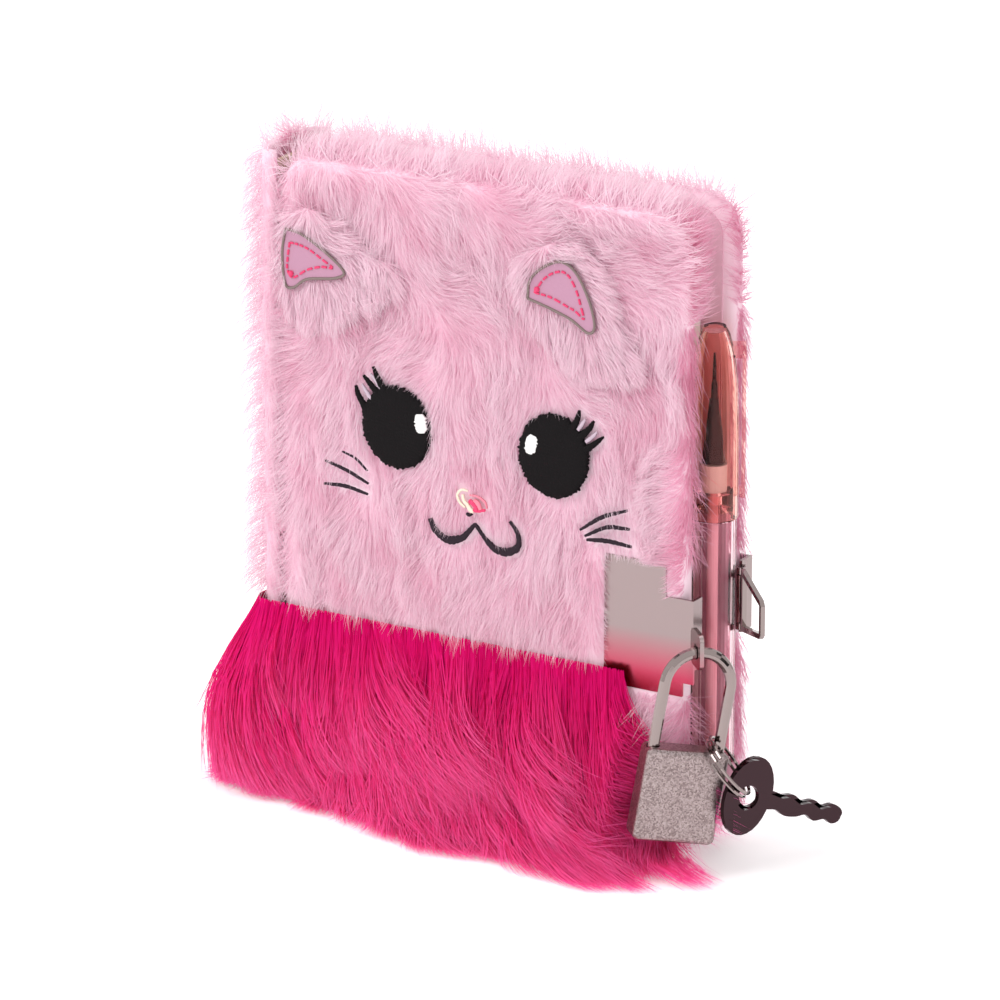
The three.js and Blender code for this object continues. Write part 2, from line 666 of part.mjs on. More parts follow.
function penCap() {
  const lip = CAP_LIP_Z;
  const outer = [[capR, lip], [capR, lip + 22], [capR - 0.4, lip + 33], [capR - 1.2, lip + 40],
    [capR - 2.4, lip + 45], [capR - 3.4, capTopZ]];
  const inner = [[capR - 3.9, capTopZ - 1.4], [capR - 3.1, lip + 43.4], [capR - 2.1, lip + 39],
    [capR - 1.3, lip + 32], [capR - CAP_WALL, lip + 20], [capR - CAP_WALL, lip]];
  const shell = turned([[0, capTopZ - 1.4], ...inner, ...outer, [0, capTopZ]]);
  const clipTop = lip + 41;
  const clipX = capR + CLIP_STAND;
  const half = CLIP_WIDTH / 2;
  const clip = block(clipX, clipX + CLIP_THICK, -half, half, clipTop - CLIP_LENGTH, clipTop);
  const root = block(capR - 1.9, clipX + CLIP_THICK, -half, half, clipTop - 1.6, clipTop + 1.6);
  const bump = block(capR - 0.2 + GAP, clipX + 0.2, -CLIP_WIDTH / 3, CLIP_WIDTH / 3, clipTop - CLIP_LENGTH,
    clipTop - CLIP_LENGTH + 2);
  return join(shell, root, clip, bump).rotateZ(rad(CLIP_TURN));
}

function addPen() {
  const pen = new THREE.Group();
  pen.position.x = penX;
  group.add(pen);
  const bore = BARREL_R - BARREL_WALL;
  const neckR = capR - CAP_WALL - GAP;
  const shoulder = CAP_LIP_Z - GAP;
  const barrel = turned([[bore, BARREL_BOTTOM], [BARREL_R, BARREL_BOTTOM], [BARREL_R, shoulder],
    [neckR, shoulder], [neckR, neckTopZ], [REFILL_R + GAP, neckTopZ], [REFILL_R + GAP, neckTopZ - 3],
    [bore, neckTopZ - 4.5], [bore, BARREL_BOTTOM]]);
  add('pen_barrel', barrel, coralClear, pen);
  const tailTop = BARREL_BOTTOM + TAIL_PLUG;
  const plugR = bore - GAP;
  add('pen_tail_plug', turned([[0, BARREL_BOTTOM - GAP - TAIL_FLANGE], [BARREL_R - 0.6, BARREL_BOTTOM - GAP
    - TAIL_FLANGE], [BARREL_R, BARREL_BOTTOM - GAP - TAIL_FLANGE + 0.8], [BARREL_R, BARREL_BOTTOM - GAP],
  [plugR, BARREL_BOTTOM - GAP], [plugR, tailTop], [0, tailTop]]), coralClear, pen);
  const refillTop = neckTopZ;
  add('pen_refill', bar(REFILL_R, tailTop + GAP, refillTop, 0, 0, 16), inkTube, pen);
  const collarZ = neckTopZ + GAP;
  add('pen_collar', bar(COLLAR_R, collarZ, collarZ + COLLAR_LENGTH, 0, 0, 28), whitePlastic, pen);
  const coneZ = collarZ + COLLAR_LENGTH + GAP;
  add('pen_cone', turned([[0, coneZ], [CONE_BASE_R, coneZ], [CONE_TOP_R, coneZ + CONE_LENGTH],
    [0, coneZ + CONE_LENGTH]]), darkNickel, pen);
  const needleZ = coneZ + CONE_LENGTH + GAP;
  const needleTop = needleZ + NEEDLE_LENGTH;
  add('pen_needle', turned([[0, needleZ], [NEEDLE_R + 0.3, needleZ], [NEEDLE_R + 0.3, needleZ + 3],
    [NEEDLE_R, needleZ + 4], [NEEDLE_R / 2, needleTop], [0, needleTop]], 16), darkNickel, pen);
  add('pen_cap', penCap(), coralClear, pen);
}

function addPenLoop() {
  const hole = BARREL_R + GAP;
  const top = LOOP_BOTTOM + LOOP_HEIGHT;
  const band = turned([[hole, LOOP_BOTTOM], [loopR, LOOP_BOTTOM], [loopR, top], [hole, top],
    [hole, LOOP_BOTTOM]], 40).translate(penX, 0, 0);
  const tail = block(penX - LOOP_TAIL, penX, loopR - LOOP_TAIL_T, loopR - 0.02, LOOP_BOTTOM, top);
  const clear = bar(hole, LOOP_BOTTOM - 1, top + 1, penX, 0, 40);
  add('pen_loop', cut(join(band, tail), clear), elastic);
}

// Padlock, drawn round the middle of its arch: X across, Z up, front face at -Y
const lock = new THREE.Group();
lock.position.copy(archCentre);
lock.rotation.set(0, rad(LOCK_TILT), rad(LOCK_YAW), 'ZYX');
const caseTop = ARCH_R + WIRE_R - SHACKLE_OUT;
const caseBottom = caseTop - CASE_H;
const latchTop = caseTop - ROOF - GAP;
const latchBottom = latchTop - LATCH_T;
const toeFace = ARCH_R - WIRE_R;

class ShacklePath extends THREE.Curve {
  getPoint(t, target = new THREE.Vector3()) {
    const heel = -caseTop + HEEL_DEPTH;
    const toe = -caseTop + TOE_DEPTH;
    const arch = Math.PI * ARCH_R;
    const along = t * (heel + arch + toe);
    if (along < heel) return target.set(-ARCH_R, 0, along - heel);
    if (along < heel + arch) {
      const angle = Math.PI - (along - heel) / ARCH_R;
      return target.set(ARCH_R * Math.cos(angle), 0, ARCH_R * Math.sin(angle));
    }
    return target.set(ARCH_R, 0, -(along - heel - arch));
  }
}

function shackle() {
  const rod = wire(new ShacklePath(), WIRE_R, 12, 56);
  const notch = block(toeFace - 1, toeFace + LATCH_BITE + GAP, -WIRE_R - 1, WIRE_R + 1,
    latchBottom - NOTCH_DROP, latchTop + GAP);
  return cut(rod, notch);
}

function lockCase() {
  const front = roundedRect(-CASE_W / 2, CASE_W / 2, caseBottom, caseTop, 1.6);
  const shell = pillowPlate(front, -CASE_T / 2, CASE_T / 2, CASE_ROUND);
  const boreR = WIRE_R + GAP;
  const heel = bar(boreR, caseTop - HEEL_DEPTH - GAP, caseTop + 1, -ARCH_R, 0, 16);
  const toe = bar(boreR, caseTop - TOE_DEPTH - GAP, caseTop + 1, ARCH_R, 0, 16);
  const chamber = block(-ARCH_R + WIRE_R + GAP, ARCH_R, -LATCH_W / 2 - GAP, LATCH_W / 2 + GAP,
    latchBottom - GAP, latchTop + GAP);
  const plugBore = bar(PLUG_R + RUN, caseBottom - 1, latchBottom, 0, 0, 28);
  return cut(shell, heel, toe, chamber, plugBore);
}

function latch() {
  const nose = toeFace + LATCH_BITE;
  const crankX = CRANK_R * Math.SQRT1_2;
  const slotHalf = CRANK_PIN_R + RUN;
  const slotEnd = CRANK_PIN_R - crankX + GAP;
  const slot = block(crankX - slotHalf, crankX + slotHalf, -LATCH_W, slotEnd, latchBottom - 1, latchTop + 1);
  const body = block(-3.4, nose, -LATCH_W / 2, LATCH_W / 2, latchBottom, latchTop);
  return cut(body, slot);
}

function lockPlug() {
  const top = latchBottom - 2 * GAP;
  const core = bar(PLUG_R, caseBottom + 0.2, top, 0, 0, 28);
  const crankX = CRANK_R * Math.SQRT1_2;
  const crank = bar(CRANK_PIN_R, top - 0.5, latchTop - GAP, crankX, -crankX, 12);
  const keyway = block(-KEYWAY_W / 2, KEYWAY_W / 2, -KEYWAY_T / 2, KEYWAY_T / 2, caseBottom - 1,
    caseBottom + KEYWAY_DEPTH);
  return cut(join(core, crank), keyway);
}

function addPadlock() {
  group.add(lock);
  add('padlock_shackle', shackle(), nickel, lock);
  add('padlock_case', lockCase(), glitterNickel, lock);
  add('padlock_latch', latch(), brass, lock);
  add('padlock_plug', lockPlug(), brass, lock);
}

// Split ring on the shackle's right leg, and two keys on the ring.
// The ring's own frame: first axis down to the keys, second along the wire there, towards the front.
const ringDown = new THREE.Vector3(0.52, 0.32, -0.79).normalize();
const ringWire = new THREE.Vector3(0.513, -0.858, 0);
ringWire.addScaledVector(ringDown, -ringWire.dot(ringDown)).normalize();
const ringAxis = ringDown.clone().cross(ringWire);
const legTurn = new THREE.Euler(0, rad(LOCK_TILT), rad(LOCK_YAW), 'ZYX');
const ringInLock = new THREE.Vector3(10.4, -1.9, -19);
const ringCentre = ringInLock.clone().applyEuler(legTurn).add(archCentre);

class SplitRingPath extends THREE.Curve {
  getPoint(t, target = new THREE.Vector3()) {
    const angle = 2.2 + t * RING_TURNS * 2 * Math.PI;
    const rise = (t - 0.5) * RING_TURNS * RING_PITCH;
    return target.copy(ringCentre)
      .addScaledVector(ringDown, RING_R * Math.cos(angle))
      .addScaledVector(ringWire, RING_R * Math.sin(angle))
      .addScaledVector(ringAxis, rise);
  }
}

// Least distance between turns, wall to wall, measured on points of the path
function leastTurnGap() {
  const path = new SplitRingPath();
  const perTurn = 72;
  const points = [];
  for (let i = 0; i <= perTurn * RING_TURNS; i += 1) points.push(path.getPoint(i / (perTurn * RING_TURNS)));
  let least = Infinity;
  for (let i = 0; i < points.length; i += 1) {
    for (let j = i + perTurn / 2; j < points.length; j += 1) {
      least = Math.min(least, points[i].distanceTo(points[j]));
    }
  }
  return least - 2 * RING_WIRE_R;
}

// A key drawn with its hole at the origin, blade along +X, thickness along Y
function keySolid() {
  const bow = new THREE.Shape();
  bow.absellipse(0, 0, BOW_HALF_W, BOW_HALF_H, 0, 2 * Math.PI);
  const hole = new THREE.Path();
  hole.absellipse(0, 0, KEY_HOLE_HALF_W, KEY_HOLE_HALF_H, 0, 2 * Math.PI);
  bow.holes.push(hole);
  const half = BLADE_H / 2;
  const neck = BOW_HALF_W - 1.2;
  const blade = outline([[neck, -half * 0.75], [neck + 4, -half * 0.7], [neck + 7, -half * 1.15],
    [neck + 11, -half], [neck + 14, -half * 0.55], [neck + 17, -half * 1.05], [KEY_REACH - 5, -half * 0.6],
    [KEY_REACH - 2.6, -half * 0.95], [KEY_REACH - 0.6, -half * 0.6], [KEY_REACH, 0],
    [KEY_REACH - 0.8, half * 0.5], [KEY_REACH - 4, half * 0.9], [KEY_REACH - 7, half * 0.45],
    [neck + 15, half * 0.9], [neck + 11.5, half * 0.5], [neck + 8, half], [neck + 5, half * 0.75],
    [neck, half * 0.8]]);
  return join(plateOf(bow, -KEY_T / 2, KEY_T / 2, 14), plateOf(blade, -KEY_T / 2, KEY_T / 2));
}

// The hole's middle lies a little below the wire and a little along the blade from it
function addKey(name, shift, along) {
  const end = ringCentre.clone().addScaledVector(ringDown, RING_R);
  const key = add(name, keySolid(), darkNickel);
  key.rotation.set(0, rad(KEY_DIP), rad(KEY_HEADING), 'ZYX');
  const blade = new THREE.Vector3(1, 0, 0).applyEuler(key.rotation);
  key.position.copy(end).addScaledVector(ringWire, shift).addScaledVector(blade, along);
  key.position.z -= KEY_DROP;
}

function addRingAndKeys() {
  add('key_ring', wire(new SplitRingPath(), RING_WIRE_R, 6, 24 * RING_TURNS), nickel);
  console.log(`key ring, least gap between turns: ${leastTurnGap().toFixed(2)} mm`);
  addKey('key_front', KEY_SPACING / 2, KEY_FRONT_ALONG);
  addKey('key_back', -KEY_SPACING / 2, KEY_BACK_ALONG);
}

addCovers();
addSpine();
addLeaves();
add('fringe_front', frontFringe(), fringeFur);
add('fringe_spine', spineFringe(), fringeFur);
addFace();
addEars();
addClasp();
addPen();
addPenLoop();
addPadlock();
addRingAndKeys();

// Bring the middle of the base to the origin
group.updateMatrixWorld(true);
const extent = new THREE.Box3().setFromObject(group, true);
group.position.set(-(extent.min.x + extent.max.x) / 2, -(extent.min.y + extent.max.y) / 2, -extent.min.z);
group.updateMatrixWorld(true);

export default group;
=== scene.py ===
"""Looks of a plush notebook with a long-fur hem, clasp, padlock, keys and a clear pen."""

import logging
import math
from dataclasses import dataclass
from enum import Enum

import bpy
import numpy as np
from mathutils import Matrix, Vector


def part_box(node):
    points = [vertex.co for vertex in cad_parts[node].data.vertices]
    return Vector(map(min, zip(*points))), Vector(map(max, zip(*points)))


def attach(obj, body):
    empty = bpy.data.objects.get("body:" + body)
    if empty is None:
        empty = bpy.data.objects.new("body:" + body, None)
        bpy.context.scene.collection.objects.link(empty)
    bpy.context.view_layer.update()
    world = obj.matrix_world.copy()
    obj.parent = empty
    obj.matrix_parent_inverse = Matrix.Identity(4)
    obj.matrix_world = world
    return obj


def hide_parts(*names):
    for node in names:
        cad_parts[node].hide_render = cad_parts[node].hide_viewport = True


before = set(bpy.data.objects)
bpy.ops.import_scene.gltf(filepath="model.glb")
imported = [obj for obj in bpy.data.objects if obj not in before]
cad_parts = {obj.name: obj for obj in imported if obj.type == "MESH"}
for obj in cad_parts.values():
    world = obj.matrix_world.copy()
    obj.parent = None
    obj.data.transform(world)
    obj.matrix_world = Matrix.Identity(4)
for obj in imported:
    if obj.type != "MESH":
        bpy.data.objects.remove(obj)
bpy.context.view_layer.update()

log = logging.getLogger("notebook")
MM = 0.001
SEED = 4711


class Body(str, Enum):
    """Names of the rigid bodies that pieces ride on."""

    BOOK = "book"
    COVER = "front_cover"


def origin_shift() -> np.ndarray:
    """Finds the book's own middle in the row frame.

    Returns:
        The offset in millimetres from the book's middle to the row frame.
    """
    _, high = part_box("back_plush")
    spine_low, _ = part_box("spine_plush")
    middle_x = (spine_low.x + high.x) / 2 / MM
    front_low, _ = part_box("front_plush")
    middle_y = (front_low.y + high.y) / 2 / MM
    return np.array([middle_x, middle_y, 0.0])


SHIFT = origin_shift()

# Sizes of the book in millimetres, about its own middle
HALF_W = 61.0
HALF_T = 14.0
INNER = 6.8
COVER_SPINE_X = -54.2
HEIGHT = 162.0
SEAM_Z = 46.0


def smooth(low: float, high: float, value: np.ndarray) -> np.ndarray:
    """Smooth step from 0 at low to 1 at high.

    Args:
        low: Where the step starts.
        high: Where the step ends.
        value: Places to evaluate.

    Returns:
        The step's height at each place.
    """
    t = np.clip((value - low) / (high - low), 0.0, 1.0)
    return t * t * (3 - 2 * t)


def unit(v: np.ndarray) -> np.ndarray:
    """Scales vectors to length one.

    Args:
        v: Vectors in rows.

    Returns:
        The unit vectors.
    """
    return v / np.maximum(np.linalg.norm(v, axis=-1, keepdims=True), 1e-9)


def wave_noise(p: np.ndarray, scale: float, seed: int) -> np.ndarray:
    """Smooth random field made of eight sine waves of random heading.

    Args:
        p: Points in rows, in millimetres.
        scale: Typical wavelength in millimetres.
        seed: Which field.

    Returns:
        Values from about -1 to 1.
    """
    rng = np.random.default_rng(SEED + seed)
    heads = unit(rng.normal(size=(8, 3))) * (2 * np.pi / scale) * rng.uniform(0.6, 1.5, (8, 1))
    phases = rng.uniform(0, 2 * np.pi, 8)
    return np.sin(p @ heads.T + phases).sum(axis=1) / 3.2


def make_mesh(name: str, verts: np.ndarray, faces: np.ndarray, shade_smooth: bool = True) -> bpy.types.Object:
    """Makes an object from points in millimetres about the book's middle.

    Args:
        name: Name of the piece.
        verts: Points in rows.
        faces: Triangles or quads as index rows.
        shade_smooth: Whether faces shade smoothly.

    Returns:
        The new object, linked to the scene.
    """
    mesh = bpy.data.meshes.new(name)
    points = ((verts + SHIFT) * MM).astype(np.float32)
    count, sides = faces.shape
    mesh.vertices.add(len(points))
    mesh.vertices.foreach_set("co", points.ravel())
    mesh.loops.add(count * sides)
    mesh.loops.foreach_set("vertex_index", faces.astype(np.int32).ravel())
    mesh.polygons.add(count)
    mesh.polygons.foreach_set("loop_start", np.arange(0, count * sides, sides, dtype=np.int32))
    mesh.update(calc_edges=True)
    mesh.validate()
    mesh.polygons.foreach_set("use_smooth", np.full(len(mesh.polygons), shade_smooth))
    made = bpy.data.objects.new(name, mesh)
    bpy.context.scene.collection.objects.link(made)
    return made


def outward(verts: np.ndarray, faces: np.ndarray) -> tuple[np.ndarray, np.ndarray]:
    """Turns a closed shell's faces so that they point out, by the sign of its volume.

    Args:
        verts: Points in rows.
        faces: Triangles or quads, all wound the same way.

    Returns:
        The points and the faces.
    """
    a, b, c = verts[faces[:, 0]], verts[faces[:, 1]], verts[faces[:, 2]]
    volume = (a * np.cross(b, c)).sum()
    if faces.shape[1] == 4:
        volume += (a * np.cross(c, verts[faces[:, 3]])).sum()
    return verts, faces if volume > 0 else faces[:, ::-1]


def ring_quads(rings: int, around: int) -> np.ndarray:
    """Joins each closed ring of points to the next one.

    Args:
        rings: How many rings, stored one after the other.
        around: How many points in a ring.

    Returns:
        Quads as index rows.
    """
    i, j = np.meshgrid(np.arange(rings - 1), np.arange(around), indexing="ij")
    after = (j + 1) % around
    here, above = i * around, (i + 1) * around
    return np.stack([here + j, here + after, above + after, above + j], axis=-1).reshape(-1, 4)


def ring_cap(around: int) -> np.ndarray:
    """Closes a ring with quads that run across it, between its first half and its second.

    Args:
        around: How many points in the ring, an even number.

    Returns:
        Quads as index rows.
    """
    q = np.arange(around // 2 - 1)
    return np.column_stack([q, q + 1, around - 2 - q, around - 1 - q])


def ring_fan(hub: int, base: int, around: int) -> np.ndarray:
    """Closes a ring with triangles that meet in one point.

    Args:
        hub: Index of the point where they meet.
        base: Index of the ring's first point.
        around: How many points in the ring.

    Returns:
        Triangles as index rows.
    """
    k = np.arange(around)
    return np.column_stack([np.full(around, hub), base + k, base + (k + 1) % around])


def split_quads(quads: np.ndarray) -> np.ndarray:
    """Cuts each quad into two triangles.

    Args:
        quads: Quads as index rows.

    Returns:
        Triangles as index rows.
    """
    return np.concatenate([quads[:, [0, 1, 2]], quads[:, [0, 2, 3]]])


Color = tuple[float, float, float, float]


def feed(tree: bpy.types.NodeTree, socket: bpy.types.NodeSocket, value: object) -> None:
    """Sets an input, or links it when the value is another node's output.

    Args:
        tree: The node tree.
        socket: The input.
        value: A number, a colour or an output.
    """
    if isinstance(value, bpy.types.NodeSocket):
        tree.links.new(value, socket)
    else:
        socket.default_value = value


def math_node(tree: bpy.types.NodeTree, operation: str, *values: object, clamp: bool = False) -> bpy.types.NodeSocket:
    """Adds a math node.

    Args:
        tree: The node tree.
        operation: What it does.
        values: Its inputs, as numbers or outputs.
        clamp: Whether the result stays between 0 and 1.

    Returns:
        Its output.
    """
    node = tree.nodes.new("ShaderNodeMath")
    node.operation = operation
    node.use_clamp = clamp
    for socket, value in zip(node.inputs, values):
        feed(tree, socket, value)
    return node.outputs[0]


def mix_node(tree: bpy.types.NodeTree, share: object, a: object, b: object, blend: str = "MIX") -> bpy.types.NodeSocket:
    """Adds a node that mixes two colours.

    Args:
        tree: The node tree.
        share: Share of the second colour.
        a: First colour.
        b: Second colour.
        blend: How they mix.

    Returns:
        Its output.
    """
    node = tree.nodes.new("ShaderNodeMix")
    node.data_type = "RGBA"
    node.blend_type = blend
    for name, value in (("Factor", share), ("A", a), ("B", b)):
        feed(tree, node.inputs[name], value)
    return node.outputs["Result"]


def place_node(tree: bpy.types.NodeTree) -> bpy.types.NodeSocket:
    """Adds the object's own coordinates.

    Args:
        tree: The node tree.

    Returns:
        Their output.
    """
    return tree.nodes.new("ShaderNodeTexCoord").outputs["Object"]


def split_node(tree: bpy.types.NodeTree, vector: bpy.types.NodeSocket) -> bpy.types.bpy_prop_collection:
    """Splits a vector into X, Y and Z.

    Args:
        tree: The node tree.
        vector: The vector's output.

    Returns:
        The three outputs, by name.
    """
    node = tree.nodes.new("ShaderNodeSeparateXYZ")
    tree.links.new(vector, node.inputs[0])
    return node.outputs


def bump_node(tree: bpy.types.NodeTree, height: bpy.types.NodeSocket, strength: float, distance: float) -> None:
    """Adds a bump to the material's main shader.

    Args:
        tree: The node tree.
        height: Output that gives the height.
        strength: How strongly it tells.
        distance: Height of one unit in metres.
    """
    node = tree.nodes.new("ShaderNodeBump")
    node.inputs["Strength"].default_value = strength
    node.inputs["Distance"].default_value = distance
    tree.links.new(height, node.inputs["Height"])
    tree.links.new(node.outputs["Normal"], tree.nodes["Principled BSDF"].inputs["Normal"])


class Tint:
    """Shader node groups shared by several materials."""

    @staticmethod
    def strand() -> bpy.types.NodeTree:
        """Builds the group that turns a strand's place, tone and shade into a colour.

        Returns:
            The group, with inputs Root, Tip and Deep and one colour output.
        """
        name = "StrandTint"
        if name in bpy.data.node_groups:
            return bpy.data.node_groups[name]
        tree = bpy.data.node_groups.new(name, "ShaderNodeTree")
        for socket in ("Root", "Tip", "Deep"):
            tree.interface.new_socket(socket, in_out="INPUT", socket_type="NodeSocketColor")
        tree.interface.new_socket("Color", in_out="OUTPUT", socket_type="NodeSocketColor")
        given, out = tree.nodes.new("NodeGroupInput"), tree.nodes.new("NodeGroupOutput")
        strand = tree.nodes.new("ShaderNodeAttribute")
        strand.attribute_name = "strand"
        value = split_node(tree, strand.outputs["Vector"])
        along = mix_node(tree, value["X"], given.outputs["Root"], given.outputs["Tip"])
        deep = mix_node(tree, value["Y"], along, given.outputs["Deep"])
        # Painted shade: the strand's Z darkens its colour by multiplying it with itself
        shaded = mix_node(tree, value["Z"], deep, deep, "MULTIPLY")
        tree.links.new(shaded, out.inputs["Color"])
        return tree


def linear(r: int, g: int, b: int) -> Color:
    """Turns a display colour from 0 to 255 into a linear one.

    Args:
        r: Red.
        g: Green.
        b: Blue.

    Returns:
        Linear red, green, blue and alpha.
    """
    c = np.array([r, g, b]) / 255
    lin = np.where(c <= 0.04045, c / 12.92, ((c + 0.055) / 1.055) ** 2.4)
    return (*[float(x) for x in lin], 1.0)


@dataclass(frozen=True)
class Fur:
    """Finish of fur strands: root, tip and deep colours, the share of light let through, and sheen."""

    name: str
    root: Color
    tip: Color
    deep: Color
    through: float = 0.3
    sheen: float = 0.2

    def build(self) -> bpy.types.Material:
        """Builds the material.

        Returns:
            The material.
        """
        mat = bpy.data.materials.new(self.name)
        mat.use_nodes = True
        nodes, links = mat.node_tree.nodes, mat.node_tree.links
        bsdf, out = nodes["Principled BSDF"], nodes["Material Output"]
        group = nodes.new("ShaderNodeGroup")
        group.node_tree = Tint.strand()
        group.inputs["Root"].default_value = self.root
        group.inputs["Tip"].default_value = self.tip
        group.inputs["Deep"].default_value = self.deep
        links.new(group.outputs["Color"], bsdf.inputs["Base Color"])
        bsdf.inputs["Roughness"].default_value = 0.7
        bsdf.inputs["Specular IOR Level"].default_value = 0.12
        bsdf.inputs["Sheen Weight"].default_value = self.sheen
        glow = nodes.new("ShaderNodeBsdfTranslucent")
        links.new(group.outputs["Color"], glow.inputs["Color"])
        mix = nodes.new("ShaderNodeMixShader")
        mix.inputs[0].default_value = self.through
        links.new(bsdf.outputs[0], mix.inputs[1])
        links.new(glow.outputs[0], mix.inputs[2])
        links.new(mix.outputs[0], out.inputs["Surface"])
        return mat


@dataclass(frozen=True)
class Plain:
    """Finish of one colour with optional fine bump, metal and clearness."""

    name: str
    color: Color
    roughness: float = 0.5
    metallic: float = 0.0
    bump: float = 0.0
    bump_scale: float = 2000.0
    clear: float = 0.0
    sheen: float = 0.0
    shine: float = 0.5
    ior: float = 1.5
    glow: float = 0.0

    def build(self) -> bpy.types.Material:
        """Builds the material.

        Returns:
            The material.
        """
        mat = bpy.data.materials.new(self.name)
        mat.use_nodes = True
        tree = mat.node_tree
        values = {
            "Base Color": self.color,
            "Roughness": self.roughness,
            "Metallic": self.metallic,
            "Transmission Weight": self.clear,
            "Sheen Weight": self.sheen,
            "Specular IOR Level": self.shine,
            "IOR": self.ior,
            "Emission Color": (1.0, 1.0, 1.0, 1.0),
            "Emission Strength": self.glow,
        }
        for name, value in values.items():
            tree.nodes["Principled BSDF"].inputs[name].default_value = value
        if self.bump:
            noise = tree.nodes.new("ShaderNodeTexNoise")
            noise.inputs["Scale"].default_value = self.bump_scale
            noise.inputs["Detail"].default_value = 3.0
            tree.links.new(place_node(tree), noise.inputs["Vector"])
            bump_node(tree, noise.outputs["Fac"], self.bump, 0.2 * MM)
        return mat


LIGHT_FUR = Fur("light_fur", linear(249, 229, 238), linear(252, 238, 244), linear(245, 212, 226), 0.6)
HOT_FUR = Fur("hot_fur", linear(240, 0, 128), linear(255, 122, 190), linear(220, 0, 108), 0.34, 0.0)
SKIN = Plain("skin", linear(246, 216, 228), 0.9)
HOT_SKIN = Plain("hot_skin", linear(216, 4, 92), 0.9)
NICKEL = Plain("nickel", linear(158, 141, 140), 0.1, 1.0)
CHROME = Plain("chrome", linear(152, 138, 136), 0.08, 1.0)
DARK_NICKEL = Plain("dark_nickel", linear(62, 46, 50), 0.08, 1.0)
BRASS = Plain("brass", linear(196, 160, 92), 0.3, 1.0)
CORAL = Plain("coral_clear", linear(255, 216, 207), 0.04, clear=1.0, ior=1.2)
BARREL = Plain("barrel_clear", linear(253, 224, 230), 0.06, clear=1.0, ior=1.25)
INK = Plain("ink_tube", linear(244, 190, 196), 0.3)
WHITE_PLASTIC = Plain("white_plastic", linear(226, 222, 228), 0.35)
PAPER = Plain("paper", linear(226, 221, 214), 0.85)
ENDPAPER = Plain("endpaper", linear(226, 182, 198), 0.8)
BOARD = Plain("board", linear(190, 172, 150), 0.9)
CLOTH = Plain("cloth", linear(232, 226, 220), 0.9)
SATIN = Plain("satin", linear(184, 135, 160), 0.55, bump=0.6, bump_scale=1400.0)
BLACK_THREAD = Plain("black_thread", linear(14, 10, 12), 0.75, bump=1.0, bump_scale=2500.0, shine=0.15)
GREY_THREAD = Plain("grey_thread", linear(48, 38, 46), 0.8, bump=0.8, shine=0.15)
PINK_THREAD = Plain("pink_thread", linear(238, 140, 158), 0.7, bump=0.8)
HOT_THREAD = Plain("hot_thread", linear(226, 60, 110), 0.6)
CREAM_THREAD = Plain("cream_thread", linear(240, 226, 205), 0.7)
OLIVE_THREAD = Plain("olive_thread", linear(128, 112, 108), 0.7, bump=0.8)
PALE_THREAD = Plain("pale_thread", linear(196, 176, 190), 0.8)
WHITE_THREAD = Plain("white_thread", linear(248, 248, 246), 0.5, bump=0.6)
ELASTIC = Plain("elastic", linear(228, 160, 182), 0.8, bump=0.8)


@dataclass(frozen=True)
class BowedPlate:
    """Finish of a mirror-like sheet whose lower end bows towards the floor, with a painted reflection of the fringe's
    colour on that end.
    """

    name: str
    color: Color
    painted_reflection: Color
    top: float
    low: float
    tilt: float

    def build(self) -> bpy.types.Material:
        """Builds the material, with the bow as a bump that grows with the square of the depth below a level, and a
        painted reflection below it.

        Returns:
            The material.
        """
        mat = Plain(self.name, self.color, 0.26, 1.0).build()
        tree = mat.node_tree
        z = split_node(tree, place_node(tree))["Z"]
        reach = self.top - self.low
        below = math_node(tree, "MAXIMUM", math_node(tree, "SUBTRACT", self.top, z), 0.0)
        # Painted reflection: below the top level the colour blends towards the fringe's crimson
        share = math_node(tree, "DIVIDE", below, reach * 0.7, clamp=True)
        tone = mix_node(tree, share, self.color, self.painted_reflection)
        tree.links.new(tone, tree.nodes["Principled BSDF"].inputs["Base Color"])
        height = math_node(tree, "MULTIPLY", math_node(tree, "POWER", below, 2.0), -self.tilt / (2 * reach))
        bump_node(tree, height, 1.0, 1.0)
        return mat


@dataclass(frozen=True)
class Glitter:
    """Finish of metal grains, each with its own tone and lean."""

    name: str
    dark: Color
    light: Color
    scale: float

    def build(self) -> bpy.types.Material:
        """Builds the material from cell noise that drives both tone and bump.

        Returns:
            The material.
        """
        mat = Plain(self.name, self.dark, 0.3, 1.0).build()
        tree = mat.node_tree
        cells = tree.nodes.new("ShaderNodeTexVoronoi")
        cells.inputs["Scale"].default_value = self.scale
        tree.links.new(place_node(tree), cells.inputs["Vector"])
        grain = split_node(tree, cells.outputs["Color"])
        tone = mix_node(tree, grain["X"], self.dark, self.light)
        tree.links.new(tone, tree.nodes["Principled BSDF"].inputs["Base Color"])
        bump_node(tree, grain["Y"], 0.8, 0.4 * MM)
        return mat


# The plate's second colour is a painted reflection of the fringe, shown on its lower end
PLATE_METAL = BowedPlate("plate_nickel", linear(158, 141, 141), linear(196, 78, 104), 0.058, 0.043, 0.35)
GLITTER = Glitter("glitter_nickel", linear(124, 108, 108), linear(182, 166, 165), 3000.0)


Finish = Fur | Plain | BowedPlate | Glitter


class Paint:
    """Keeps one material for each finish."""

    made: dict[str, bpy.types.Material] = {}

    @classmethod
    def put(cls, obj: bpy.types.Object, finish: Finish) -> bpy.types.Object:
        """Gives an object a finish.

        Args:
            obj: The object.
            finish: Its finish.

        Returns:
            The same object.
        """
        if finish.name not in cls.made:
            cls.made[finish.name] = finish.build()
        obj.data.materials.clear()
        obj.data.materials.append(cls.made[finish.name])
        return obj


def place(obj: bpy.types.Object, body: Body, finish: Finish) -> bpy.types.Object:
    """Finishes a new piece and fixes it to its body.

    Args:
        obj: The piece.
        body: The body it rides on.
        finish: Its finish.

    Returns:
        The same object.
    """
    Paint.put(obj, finish)
    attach(obj, body.value)
    log.info("%s: %d faces on %s", obj.name, len(obj.data.polygons), body.value)
    return obj


